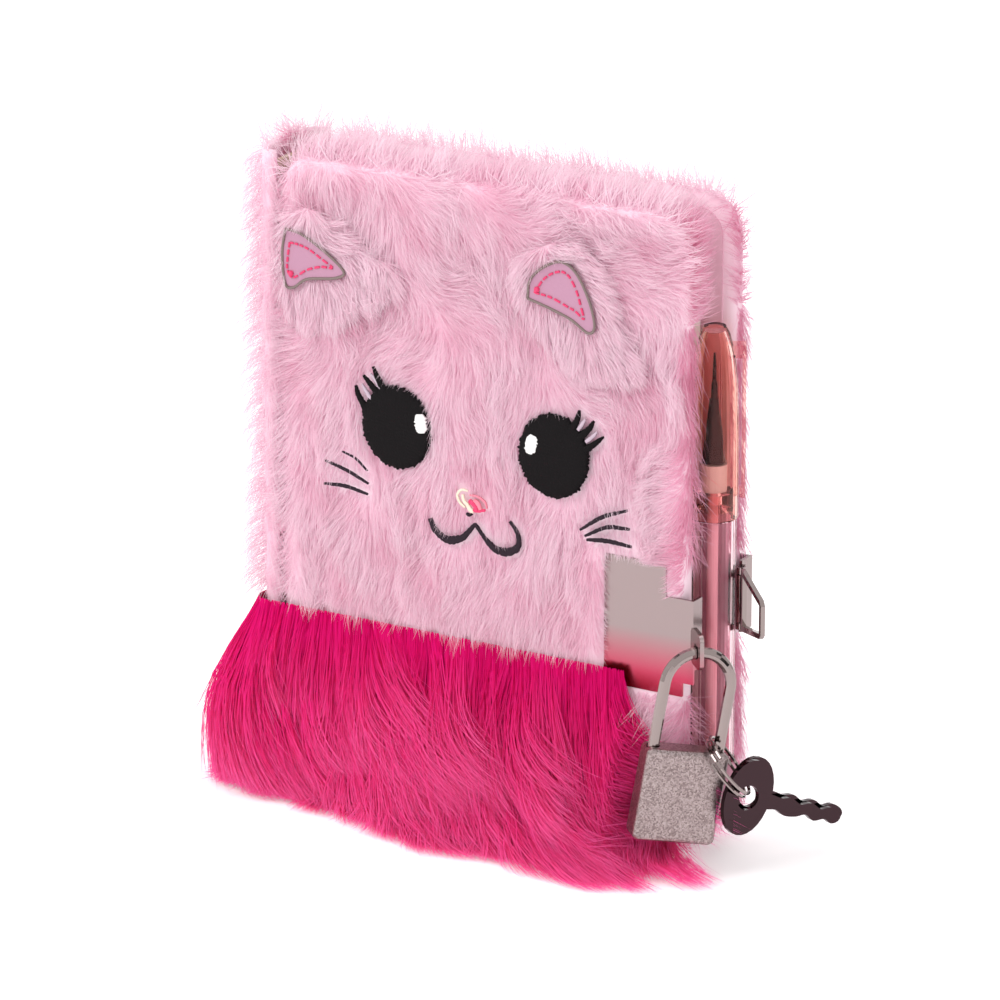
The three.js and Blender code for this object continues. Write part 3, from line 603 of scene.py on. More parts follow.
@dataclass
class Strands:
    """Many strands, one row each, in millimetres: run, width, tone, roll and the shade they stand in."""

    normal: np.ndarray
    points: np.ndarray
    width: np.ndarray
    tone: np.ndarray
    roll: np.ndarray
    shade: np.ndarray | None = None

    def build(self, name: str, body: Body, finish: Fur, slot: str, most: int = 190000) -> None:
        """Makes flat tapered ribbons that end in a point, split into pieces that stay small enough.

        A ribbon's width lies across its run and across its root's normal, turned by its own roll.

        Args:
            name: Start of the pieces' names.
            body: The body they ride on.
            finish: Their finish.
            slot: Not used.
            most: Most triangles in a piece.
        """
        count, steps, _ = self.points.shape
        per_strand = 2 * (steps - 2) + 1
        parts = math.ceil(count / (most // per_strand))
        edges = np.linspace(0, count, parts + 1).astype(int)
        for part, (a, b) in enumerate(zip(edges[:-1], edges[1:])):
            place(self._piece(f"{name}_{part + 1}", a, b), body, finish)

    def _piece(self, name: str, a: int, b: int) -> bpy.types.Object:
        """Makes one piece from rows a to b.

        Args:
            name: Name of the piece.
            a: First row.
            b: Row after the last.

        Returns:
            The object.
        """
        points, count, steps = self.points[a:b], b - a, self.points.shape[1]
        run = unit(np.gradient(points, axis=1))
        normal = np.repeat(self.normal[a:b, None, :], steps, axis=1)
        side = unit(np.cross(run, normal) + 1e-6)
        up = np.cross(side, run)
        roll = self.roll[a:b, None, None]
        side = side * np.cos(roll) + up * np.sin(roll)
        taper = np.power(1 - np.linspace(0, 1, steps) ** 2, 0.6)[None, :, None]
        half = side * self.width[a:b, None, None] / 2 * taper
        left, right = points[:, :-1] - half[:, :-1], points[:, :-1] + half[:, :-1]
        verts = np.concatenate([np.stack([left, right], axis=2).reshape(count, -1, 3), points[:, -1:]], axis=1)
        per = verts.shape[1]
        base = np.arange(count)[:, None, None] * per
        rung = np.arange(steps - 2)[None, :, None] * 2
        lower = base + rung + np.array([0, 1, 3])[None, None, :]
        upper = base + rung + np.array([0, 3, 2])[None, None, :]
        tip = base + np.array([per - 3, per - 2, per - 1])[None, None, :]
        faces = np.concatenate([lower, upper, tip], axis=1).reshape(-1, 3)
        made = make_mesh(name, verts.reshape(-1, 3), faces)
        along = np.linspace(0, 1, steps) ** 1.6
        place_along = np.concatenate([np.repeat(along[:-1], 2), along[-1:]])
        data = np.zeros((count, per, 3), np.float32)
        data[:, :, 0] = place_along[None, :]
        data[:, :, 1] = self.tone[a:b, None]
        if self.shade is not None:
            data[:, :, 2] = self.shade[a:b, None]
        attribute = made.data.attributes.new("strand", "FLOAT_VECTOR", "POINT")
        attribute.data.foreach_set("vector", data.ravel())
        return made


def surface_points(obj: bpy.types.Object, count: int, rng: np.random.Generator) -> tuple[np.ndarray, np.ndarray]:
    """Scatters points over a mesh evenly by area.

    Args:
        obj: The mesh object.
        count: How many points.
        rng: Random source.

    Returns:
        Points in millimetres about the book's middle, and outward normals.
    """
    mesh = obj.data
    mesh.calc_loop_triangles()
    co = np.zeros(len(mesh.vertices) * 3, np.float32)
    mesh.vertices.foreach_get("co", co)
    co = co.reshape(-1, 3) / MM - SHIFT
    tri = np.zeros(len(mesh.loop_triangles) * 3, np.int32)
    mesh.loop_triangles.foreach_get("vertices", tri)
    tri = tri.reshape(-1, 3)
    nv = np.zeros(len(mesh.vertices) * 3, np.float32)
    mesh.vertices.foreach_get("normal", nv)
    nv = nv.reshape(-1, 3)
    a, b, c = co[tri[:, 0]], co[tri[:, 1]], co[tri[:, 2]]
    area = np.linalg.norm(np.cross(b - a, c - a), axis=1)
    pick = rng.choice(len(tri), count, p=area / area.sum())
    u, v = rng.random(count), rng.random(count)
    flip = u + v > 1
    u[flip], v[flip] = 1 - u[flip], 1 - v[flip]
    w = np.stack([1 - u - v, u, v], axis=1)[:, :, None]
    points = (co[tri[pick]] * w).sum(axis=1)
    normals = unit((nv[tri[pick]] * w).sum(axis=1))
    return points, normals


def clump_centres(p: np.ndarray, cell: float, seed: int) -> tuple[np.ndarray, np.ndarray]:
    """Finds the nearest of a set of scattered clump centres, one in each cell of a grid.

    Args:
        p: Points in rows.
        cell: Grid size in millimetres.
        seed: Which scatter.

    Returns:
        The centre nearest to each point, and a random value from 0 to 1 for each centre.
    """
    best = np.full(len(p), np.inf)
    centre, value = np.zeros_like(p), np.zeros(len(p))
    home = np.floor(p / cell).astype(np.int64)
    offsets = np.stack(np.meshgrid([-1, 0, 1], [-1, 0, 1], [-1, 0, 1], indexing="ij"), -1).reshape(-1, 3)
    for offset in offsets:
        key = home + offset
        mixed = (key * np.array([73856093, 19349663, 83492791]) + seed * 1013).sum(axis=1)
        parts = [((mixed * k) % 9973) / 9973 for k in (7919, 104729, 15485863, 1299709)]
        candidate = (key + np.stack(parts[:3], axis=1)) * cell
        gap = np.linalg.norm(candidate - p, axis=1)
        near = gap < best
        best = np.where(near, gap, best)
        centre = np.where(near[:, None], candidate, centre)
        value = np.where(near, parts[3], value)
    return centre, value


@dataclass(frozen=True)
class Slab:
    """A soft slab with rounded corners and edges, in millimetres."""

    x0: float
    x1: float
    y0: float
    y1: float
    z0: float
    z1: float
    corner: float
    edge: float
    crown: float = 0.0

    def surface(self) -> tuple[np.ndarray, np.ndarray]:
        """Builds rings of a rounded rectangle that shrink towards both faces.

        Each ring is the outline moved in by an inset, at one depth. The face away from the leaves is crowned.

        Returns:
            Points and quads.
        """
        around = 96
        arc = [(self.edge * (1 - math.cos(t)), self.edge * (1 - math.sin(t))) for t in np.linspace(0, math.pi / 2, 5)]
        reach = min(self.x1 - self.x0, self.z1 - self.z0) / 2 - 1
        inner = [(d, 0.0) for d in (reach, reach * 0.6, reach * 0.3, self.edge * 1.6)]
        front = [(d, y - self.crown * (1 - (1 - min(1, d / reach)) ** 3)) for d, y in inner]
        front += [(d, y) for d, y in arc[::-1]]
        rings = [(d, self.y0 + y) for d, y in front]
        rings += [(d, self.y1 - y) for d, y in arc + inner[::-1]]
        loops = [np.column_stack(self._outline(d, around, y)) for d, y in rings]
        cap = ring_cap(around)
        faces = np.concatenate([ring_quads(len(rings), around), cap[:, ::-1], cap + (len(rings) - 1) * around])
        return outward(np.concatenate(loops), faces)

    def _outline(self, inset: float, around: int, y: float) -> tuple[np.ndarray, np.ndarray, np.ndarray]:
        """Walks round the outline, moved in by an inset, as a superellipse-cornered rectangle.

        Args:
            inset: How far in.
            around: How many points.
            y: Depth of the ring.

        Returns:
            X, Y and Z of the ring's points.
        """
        hx, hz = (self.x1 - self.x0) / 2 - inset, (self.z1 - self.z0) / 2 - inset
        radius = max(self.corner - inset, min(hx, hz) * 0.15)
        radius = min(radius, hx, hz)
        per = around // 4
        t = np.linspace(0, math.pi / 2, per)
        cx, cz = hx - radius, hz - radius
        cos, sin = radius * np.cos(t), radius * np.sin(t)
        xs = np.concatenate([cx + cos, -cx - sin, -cx - cos, cx + sin])
        zs = np.concatenate([cz + sin, cz + cos, -cz - sin, -cz - cos])
        mx, mz = (self.x0 + self.x1) / 2, (self.z0 + self.z1) / 2
        return xs + mx, np.full(around, y), zs + mz


# Places on the front, in millimetres about the book's middle
# Each eye is [x, z, half width, half height], the plate is [left, right, bottom, top], its notch's corner is [x, z]
EYES = {"left": (-20.2, 97.6, 9.6, 10.4), "right": (23.5, 97.6, 9.6, 10.4)}
PLATE = (36.8, 61.0, 43.0, 75.4)
NOTCH = (53.8, 67.6)


@dataclass(frozen=True)
class EarShape:
    """Outlines of an ear as [x, z] from its own corner."""

    side: str
    x: float
    z: float
    flap_points: tuple[tuple[float, float], ...]
    patch_points: tuple[tuple[float, float], ...]
    stitch_points: tuple[tuple[float, float], ...]
    knot: tuple[float, float]

    def flap(self) -> np.ndarray:
        """Gives the flap's outline on the front.

        Returns:
            Points as [x, z] in rows.
        """
        return np.array(self.flap_points) + (self.x, self.z)

    def patch(self) -> np.ndarray:
        """Gives the patch's outline on the front.

        Returns:
            Points as [x, z] in rows.
        """
        return np.array(self.patch_points) + (self.x, self.z)

    def stitch(self) -> np.ndarray:
        """Gives the line of the running stitch.

        Returns:
            Points as [x, z] in rows.
        """
        return np.array(self.stitch_points)


EAR_LEFT = EarShape(
    "left", -53.4, 146.0,
    ((2.8, 0), (9.4, 2.6), (24.4, -6), (31.9, -8.4), (32.4, -13.4), (24.4, -19), (17.4, -23), (7.4, -25.5), (2.4, -18)),
    ((3.6, -2.6), (8, -3.4), (14.6, -6.8), (20, -11), (17.4, -13), (9.6, -14.4), (5.8, -17), (3.4, -16.4), (2.6, -9)),
    ((-48.6, 140.1), (-49.2, 136.4), (-49.3, 133.1), (-47.6, 131.5), (-43.8, 133.9), (-39.7, 135.3), (-36.5, 135.5),
     (-39.7, 137.3), (-43.1, 139.1), (-46.0, 139.9)),
    (-48.3, 132.4),
)
EAR_RIGHT = EarShape(
    "right", 14.4, 146.0,
    ((0, 0), (13.6, 5.6), (20.6, -1.6), (25.6, -11), (30.4, -19), (31.4, -24.6), (16.6, -25.2), (5.6, -18), (-1, -8)),
    ((3.2, -9.8), (4, -5), (8, -1.2), (12.6, 0.4), (16.6, -2), (20, -8.2), (21.4, -14), (19.6, -15.8), (15, -13.2),
     (8.8, -11.2)),
    ((19.5, 137.9), (20.2, 139.0), (22.0, 141.5), (24.4, 143.3), (27.1, 144.1), (29.2, 142.9), (31.0, 139.8),
     (32.0, 136.8), (32.9, 133.5), (30.6, 135.0), (28.2, 135.9), (24.7, 137.2), (22.0, 137.7)),
    (20.2, 138.8),
)


def inside(x: np.ndarray, z: np.ndarray, outline: np.ndarray) -> np.ndarray:
    """Tells which points lie inside an outline, by counting the sides that a level ray crosses.

    Args:
        x: Points' X.
        z: Points' Z.
        outline: Corners in rows.

    Returns:
        A mask.
    """
    after = np.roll(outline, -1, axis=0)
    spans = (outline[:, 1][None, :] > z[:, None]) != (after[:, 1][None, :] > z[:, None])
    rise = np.where(after[:, 1] == outline[:, 1], 1e-9, after[:, 1] - outline[:, 1])
    cross = (after[:, 0] - outline[:, 0])[None, :] * (z[:, None] - outline[:, 1][None, :]) / rise[None, :]
    return ((spans & (x[:, None] < cross + outline[:, 0][None, :])).sum(axis=1) % 2) == 1


# Stitched lines as [x, z] points, and for a whisker its half width too
LASHES = {
    "left_1": ((-28.0, 99.8), (-29.6, 102.3), (-30.8, 104.2), (-31.5, 106.4)),
    "left_2": ((-24.8, 104.6), (-26.0, 106.0), (-27.6, 107.6), (-29.3, 109.3)),
    "left_3": ((-23.0, 105.8), (-24.2, 107.6), (-25.5, 109.6), (-26.6, 111.9)),
    "right_1": ((28.2, 104.8), (29.4, 106.5), (30.2, 108.1), (30.6, 110.1)),
    "right_2": ((30.6, 103.2), (32.2, 104.9), (33.6, 106.4), (34.5, 108.1)),
    "right_3": ((32.2, 100.4), (33.6, 101.6), (35.3, 103.0), (37.2, 104.6)),
}
MOUTH = ((-10.9, 76.2), (-9.7, 73.9), (-7.8, 72.3), (-5.2, 71.6), (-2.0, 72.7), (0.2, 74.9), (1.8, 76.6),
         (3.6, 74.7), (5.3, 73.0), (7.6, 71.5), (10.6, 71.3), (13.3, 72.7), (14.0, 74.8), (13.2, 77.2), (11.4, 79.2))
WHISKERS = {
    "left_1": (((-35.6, 89.0), (-31.8, 87.8), (-28.5, 85.2)), 0.22),
    "left_2": (((-40.4, 85.9), (-34.1, 84.3), (-28.2, 82.0)), 0.36),
    "left_3": (((-40.8, 80.0), (-34.7, 80.3), (-28.4, 79.3)), 0.42),
    "right_1": (((30.9, 80.5), (37.0, 84.7), (43.7, 87.4)), 0.5),
    "right_2": (((32.2, 79.2), (38.2, 82.3), (44.3, 82.9)), 0.5),
    "right_3": (((32.7, 78.3), (38.2, 78.9), (44.9, 78.6)), 0.5),
}


class Stitched:
    """Grid over the front that tells where embroidery and patches lie, so that fur stays clear of them."""

    cell = 0.25
    low = (-62.0, 40.0)
    shape = (496, 480)
    made: np.ndarray | None = None

    @classmethod
    def covers(cls, x: np.ndarray, z: np.ndarray) -> np.ndarray:
        """Looks places up in the grid.

        Args:
            x: Places' X.
            z: Places' Z.

        Returns:
            A mask of places on embroidery or a patch.
        """
        if cls.made is None:
            cls.made = cls._fill()
        i = np.clip(((x - cls.low[0]) / cls.cell).astype(int), 0, cls.shape[0] - 1)
        j = np.clip(((z - cls.low[1]) / cls.cell).astype(int), 0, cls.shape[1] - 1)
        return cls.made[i, j]

    @classmethod
    def _fill(cls) -> np.ndarray:
        """Marks the eyes' ellipses, the patches' outlines and a band along every stitched line.

        Returns:
            The grid.
        """
        x, z = np.meshgrid(*(np.arange(n) * cls.cell + low for n, low in zip(cls.shape, cls.low)), indexing="ij")
        x, z = x.ravel(), z.ravel()
        mask = np.zeros(len(x), bool)
        for cx, cz, hw, hh in EYES.values():
            mask |= ((x - cx) / (hw - 0.2)) ** 2 + ((z - cz) / (hh - 0.2)) ** 2 < 1
        for ear in (EAR_LEFT, EAR_RIGHT):
            patch = ear.patch()
            middle = patch.mean(axis=0)
            mask |= inside(x, z, middle + (patch - middle) * 0.98)
        x0, _, z0, z1 = PLATE
        mask |= (x > x0 + 0.9) & (z > z0 + 0.4) & (z < z1 - 0.8) & ~((x > NOTCH[0]) & (z > NOTCH[1]))
        lines = [(points, 0.9) for points in LASHES.values()]
        lines += [(points, wide + 0.35) for points, wide in WHISKERS.values()]
        lines += [(MOUTH, 1.1), (((-2.4, 84.6), (0.6, 81.0), (4.0, 82.6)), 1.7)]
        for points, reach in lines:
            for px, pz in curve_through(points, 60):
                mask |= (x - px) ** 2 + (z - pz) ** 2 < reach**2
        return mask.reshape(cls.shape)


def trimmed(points: np.ndarray) -> np.ndarray:
    """Shortens strands on the front so that they end before they reach embroidery.

    Args:
        points: Strands' points.

    Returns:
        The shortened strands' points, as many as before.
    """
    count, steps, _ = points.shape
    blocked = Stitched.covers(points[:, :, 0], points[:, :, 2])
    first = np.where(blocked.any(axis=1), blocked.argmax(axis=1), steps)
    share = np.clip((first - 0.5) / (steps - 1), 0.2, 1.0)
    at = np.linspace(0, 1, steps)[None, :] * share[:, None] * (steps - 1)
    low = np.minimum(at.astype(int), steps - 2)
    part = (at - low)[:, :, None]
    rows = np.arange(count)[:, None]
    return points[rows, low] * (1 - part) + points[rows, low + 1] * part


@dataclass(frozen=True)
class Skin:
    """The backing that fur grows from: its body, the nodes it replaces, its strands' count and its facing.

    The facing is -1 for the front cover, 1 for the back one and 0 for the spine.
    """

    name: str
    body: Body
    nodes: tuple[str, ...]
    count: int
    facing: int


@dataclass(frozen=True)
class Coat:
    """Short light fur over the covers and the spine, on skins that lie inside the solid by an inset."""

    inset: float = 1.2

    def build(self) -> None:
        """Builds the furry skins and their fur."""
        thin = 1.0
        edge = self.inset
        right, top = HALF_W - edge, HEIGHT - edge
        front = Slab(COVER_SPINE_X, right - 1.8, -HALF_T + edge, -INNER - 0.4, edge, top, 10, 2.2, 0.4)
        back = Slab(COVER_SPINE_X, right, INNER + 0.4, HALF_T - edge, edge, top, 10, 2.2)
        plan = [
            (Skin("front", Body.COVER, ("front_plush",), 176000, -1), front.surface()),
            (Skin("back", Body.BOOK, ("back_plush",), 62000, 1), back.surface()),
            (Skin("spine", Body.BOOK, ("spine_plush",), 26000, 0), self._spine()),
        ]
        for index, (skin, (verts, faces)) in enumerate(plan):
            made = make_mesh(f"{skin.name}_skin", verts, faces)
            place(made, skin.body, SKIN)
            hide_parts(*skin.nodes)
            rng = np.random.default_rng(SEED + index)
            points, normals = surface_points(made, int(skin.count * thin), rng)
            extra, extra_normals = surface_points(made, int(skin.count * thin), rng)
            edge_roots = (extra_normals[:, 2] > 0.3) | (extra_normals[:, 0] * np.sign(skin.facing + 0.5) > 0.5)
            points = np.concatenate([points, extra[edge_roots]])
            normals = np.concatenate([normals, extra_normals[edge_roots]])
            keep = self._keep(points, normals, skin.facing)
            strands = self._grow(points[keep], normals[keep], skin.facing, rng, index)
            strands.build(f"{skin.name}_fur", skin.body, LIGHT_FUR, "plush")

    def _spine(self) -> tuple[np.ndarray, np.ndarray]:
        """Wraps a channel section round the spine: two half-round shoulders joined by a flat back.

        The section is offset inwards for its inner wall and carried up the spine, with both ends closed.

        Returns:
            Points and quads.
        """
        edge, radius, arms = self.inset, 4.0, -HALF_W + 5.6
        t = np.linspace(0, math.pi / 2, 8)
        x0, y0 = -HALF_W + edge / 4, HALF_T - edge
        corner_x, corner_y = x0 + radius, y0 - radius
        upper = np.column_stack([corner_x - radius * np.sin(t), corner_y + radius * np.cos(t)])
        lower = upper[::-1] * np.array([1, -1])
        outer = np.concatenate([[(arms, y0)], upper, lower, [(arms, -y0)]])
        thin = radius - 1.4
        upper_in = np.column_stack([corner_x - thin * np.sin(t), corner_y + thin * np.cos(t)])
        lower_in = upper_in[::-1] * np.array([1, -1])
        inner = np.concatenate([[(arms, y0 - 1.4)], upper_in, lower_in, [(arms, -y0 + 1.4)]])
        ring = np.concatenate([outer, inner[::-1]])
        top = HEIGHT - edge
        levels = np.concatenate([[edge, edge + 0.8], np.linspace(edge + 4, top - 4, 30), [top - 0.8, top]])
        k, m = len(levels), len(ring)
        verts = np.zeros((k, m, 3))
        verts[:, :, :2] = ring[None, :, :]
        verts[:, :, 2] = levels[:, None]
        quads, cap = ring_quads(k, m)[:, [0, 3, 2, 1]], ring_cap(m)
        faces = np.concatenate([quads, cap, cap[:, ::-1] + (k - 1) * m])
        return outward(verts.reshape(-1, 3), faces)

    def _keep(self, p: np.ndarray, n: np.ndarray, facing: int) -> np.ndarray:
        """Leaves out roots under the face, the ears, the clasp and the long fringe.

        Args:
            p: Roots.
            n: Their normals.
            facing: -1 for the front cover, 1 for the back one, 0 for the spine.

        Returns:
            A mask of roots to keep.
        """
        x, y, z = p[:, 0], p[:, 1], p[:, 2]
        keep = np.ones(len(p), bool)
        if facing:
            keep &= n[:, 1] * facing > -0.35
        if facing == -1:
            keep &= ~Stitched.covers(x, z)
            for flap in (EAR_LEFT, EAR_RIGHT):
                keep &= ~inside(x, z, flap.flap())
            x0, _, z0, z1 = PLATE
            clasp = (x > x0 - 0.3) & (z > z0 - 0.6) & (z < z1 + 1.0)
            keep &= ~clasp | ((x > NOTCH[0] + 0.6) & (z > NOTCH[1] + 1.0) & (n[:, 1] < -0.5))
            keep &= ~((z < SEAM_Z + 4.5) & (x < 38.0))
        elif facing == 1:
            keep &= ~((x > 40.5) & (z > 53) & (z < 76))
        else:
            keep &= (np.hypot(x + HALF_W - 5.7, np.abs(y) - 7.0) > 5.0) & (x < -55.6)
            keep &= ~((z < SEAM_Z + 4) & (y < 8))
        return keep

    def _flow(self, p: np.ndarray, n: np.ndarray, facing: int) -> np.ndarray:
        """Direction in which the fur lies: down below, fanning to the side above, with slow swirls.

        Args:
            p: Roots.
            n: Their normals.
            facing: -1 for the front cover, 1 for the back one, 0 for the spine.

        Returns:
            Unit directions.
        """
        x, z = p[:, 0], p[:, 2]
        turn = np.zeros(len(p))
        if facing == -1:
            turn += 1.15 * smooth(108, 140, z) * (0.8 + 0.2 * np.tanh((x + 10) / 30))
            turn += 0.25 * np.tanh(x / 30) * smooth(70, 100, z)
            turn -= 1.1 * smooth(46, 57, x) * smooth(150, 138, z)
            turn += 1.1 * smooth(32, 36, x) * smooth(38, 45, z) * smooth(78, 74, z) * (x < PLATE[0])
        turn += (0.25 + 0.55 * smooth(95, 120, z)) * wave_noise(p, 34, 3) + 0.3 * wave_noise(p, 12, 4)
        head = np.stack([np.sin(turn), np.zeros(len(p)), -np.cos(turn)], axis=1)
        gap = (np.abs(p[:, 2] - 72) > 62).astype(float)
        top = smooth(0.2, 0.75, np.maximum(n[:, 2], n[:, 0] * gap))[:, None]
        over = np.zeros_like(head)
        over[:, 1] = -np.sign(p[:, 1])
        over[:, 0] = 0.25 if facing else 0.8
        lie = head * (1 - top) + (over + np.array([0.0, 0.0, 0.55])) * top
        if facing == 1:
            return lie
        from_cover = smooth(-48.5, -52.5, x) * (1 - n[:, 2])
        from_spine = smooth(-60.0, -57.0, x) * (n[:, 1] < -0.5)
        seam = (from_cover if facing else from_spine)[:, None]
        aim = np.array([-0.85, -0.05, -0.5]) if facing else np.array([0.5, 0.0, -0.85])
        return lie * (1 - seam) + aim * seam

    def _grow(self, p: np.ndarray, n: np.ndarray, facing: int, rng: np.random.Generator, seed: int) -> Strands:
        """Grows strands that rise a little, lie along the flow and gather in small clumps.

        Args:
            p: Roots.
            n: Their normals.
            facing: Which cover.
            rng: Random source.
            seed: Which scatter of clumps.

        Returns:
            The strands.
        """
        count, steps = len(p), 5
        flow = self._flow(p, n, facing)
        top = smooth(0.2, 0.9, n[:, 2])
        under_plate = smooth(38.5, 41, p[:, 0]) * smooth(33, 40, p[:, 2]) * (p[:, 2] < PLATE[2]) * (facing == -1)
        ridge = 0.16 + 1.4 * top * (1 - top) + 0.12 * under_plate
        flow = unit(flow - (flow * n).sum(axis=1, keepdims=True) * n + rng.normal(size=p.shape) * ridge[:, None])
        centre, value = clump_centres(p, 5.0, seed)
        length = rng.uniform(6.0, 9.0, count) * (0.85 + 0.3 * value)
        length = length * (1 + 0.15 * top)
        side = smooth(0.5, 0.95, -n[:, 0]) if facing == 0 else np.zeros(count)
        stand = 1 + 1.2 * top + 3.2 * side + 0.4 * under_plate
        lift = (rng.uniform(0.75, 1.2, count) + 0.45 * value) * self.inset * stand
        t = np.linspace(0, 1, steps)[None, :, None]
        rise = np.sin(t * math.pi / 2 * 1.15) * lift[:, None, None]
        points = p[:, None, :] + n[:, None, :] * rise + flow[:, None, :] * (length[:, None, None] * t**1.2 * 0.93)
        pull = (centre - p) - ((centre - p) * n).sum(axis=1, keepdims=True) * n
        points = points + pull[:, None, :] * (t**1.4) * 0.45
        patch = smooth(-0.2, 1.1, wave_noise(p, 16, 12)) * 0.45
        # Painted shade: a deeper tone on faces turned towards +X, the side away from the key lamp
        patch = patch + 0.5 * smooth(0.3, 0.9, n[:, 0])
        if facing == -1:
            # Painted shade: a deeper tone in the crease under each ear
            patch = patch + 0.9 * self._crease(p)
        tone = np.clip(0.3 * (1 - value) + patch + rng.normal(scale=0.14, size=count), 0, 1)
        points = self._clear(points, facing)
        # Painted shade: strands on faces turned towards +X, away from the key lamp, are darkened in the strand tint
        shade = smooth(0.3, 0.8, n[:, 0])
        width, roll = rng.uniform(0.14, 0.2, count), rng.uniform(-0.7, 0.7, count)
        return Strands(n, points, width, tone, roll, shade)

    def _crease(self, p: np.ndarray) -> np.ndarray:
        """Finds the shaded crease just under each ear's lower edge.

        Args:
            p: Roots.

        Returns:
            1 in the crease and 0 elsewhere.
        """
        shade = np.zeros(len(p), bool)
        for ear in (EAR_LEFT, EAR_RIGHT):
            flap = ear.flap()
            middle = flap.mean(axis=0)
            below = middle + (flap - middle) * 1.16 + (0.6, -1.0)
            shade |= inside(p[:, 0], p[:, 2], below) & (p[:, 2] < middle[1] - 2)
        return shade.astype(float)

    def _clear(self, points: np.ndarray, facing: int) -> np.ndarray:
        """Keeps strands above the floor, and those on the front off the embroidery.

        Args:
            points: Strand points.
            facing: Which cover.

        Returns:
            The changed points.
        """
        points[:, :, 2] = np.maximum(points[:, :, 2], 0.4)
        return trimmed(points) if facing == -1 else points


@dataclass(frozen=True)
class Locks:
    """The small lock and the wide one that each strand belongs to.

    The centres are [distance along the path, squashed height, 0]. The random values run from 0 to 1: value,
    second and third are the small lock's, and wide_value is the wide one's.
    """

    small: np.ndarray
    wide: np.ndarray
    value: np.ndarray
    second: np.ndarray
    third: np.ndarray
    wide_value: np.ndarray

    @classmethod
    def gather(cls, s: np.ndarray, z: np.ndarray) -> "Locks":
        """Finds the locks of strands by where they start.

        Args:
            s: Distances along the path.
            z: Heights.

        Returns:
            The locks.
        """
        none = np.zeros(len(s))
        small, value = clump_centres(np.stack([s, z * 0.55, none], axis=1), 3.8, 9)
        wide, wide_value = clump_centres(np.stack([s, z * 0.45, none], axis=1), 12.0, 19)
        return cls(small, wide, value, (value * 977.7) % 1.0, (value * 7919.3) % 1.0, wide_value)


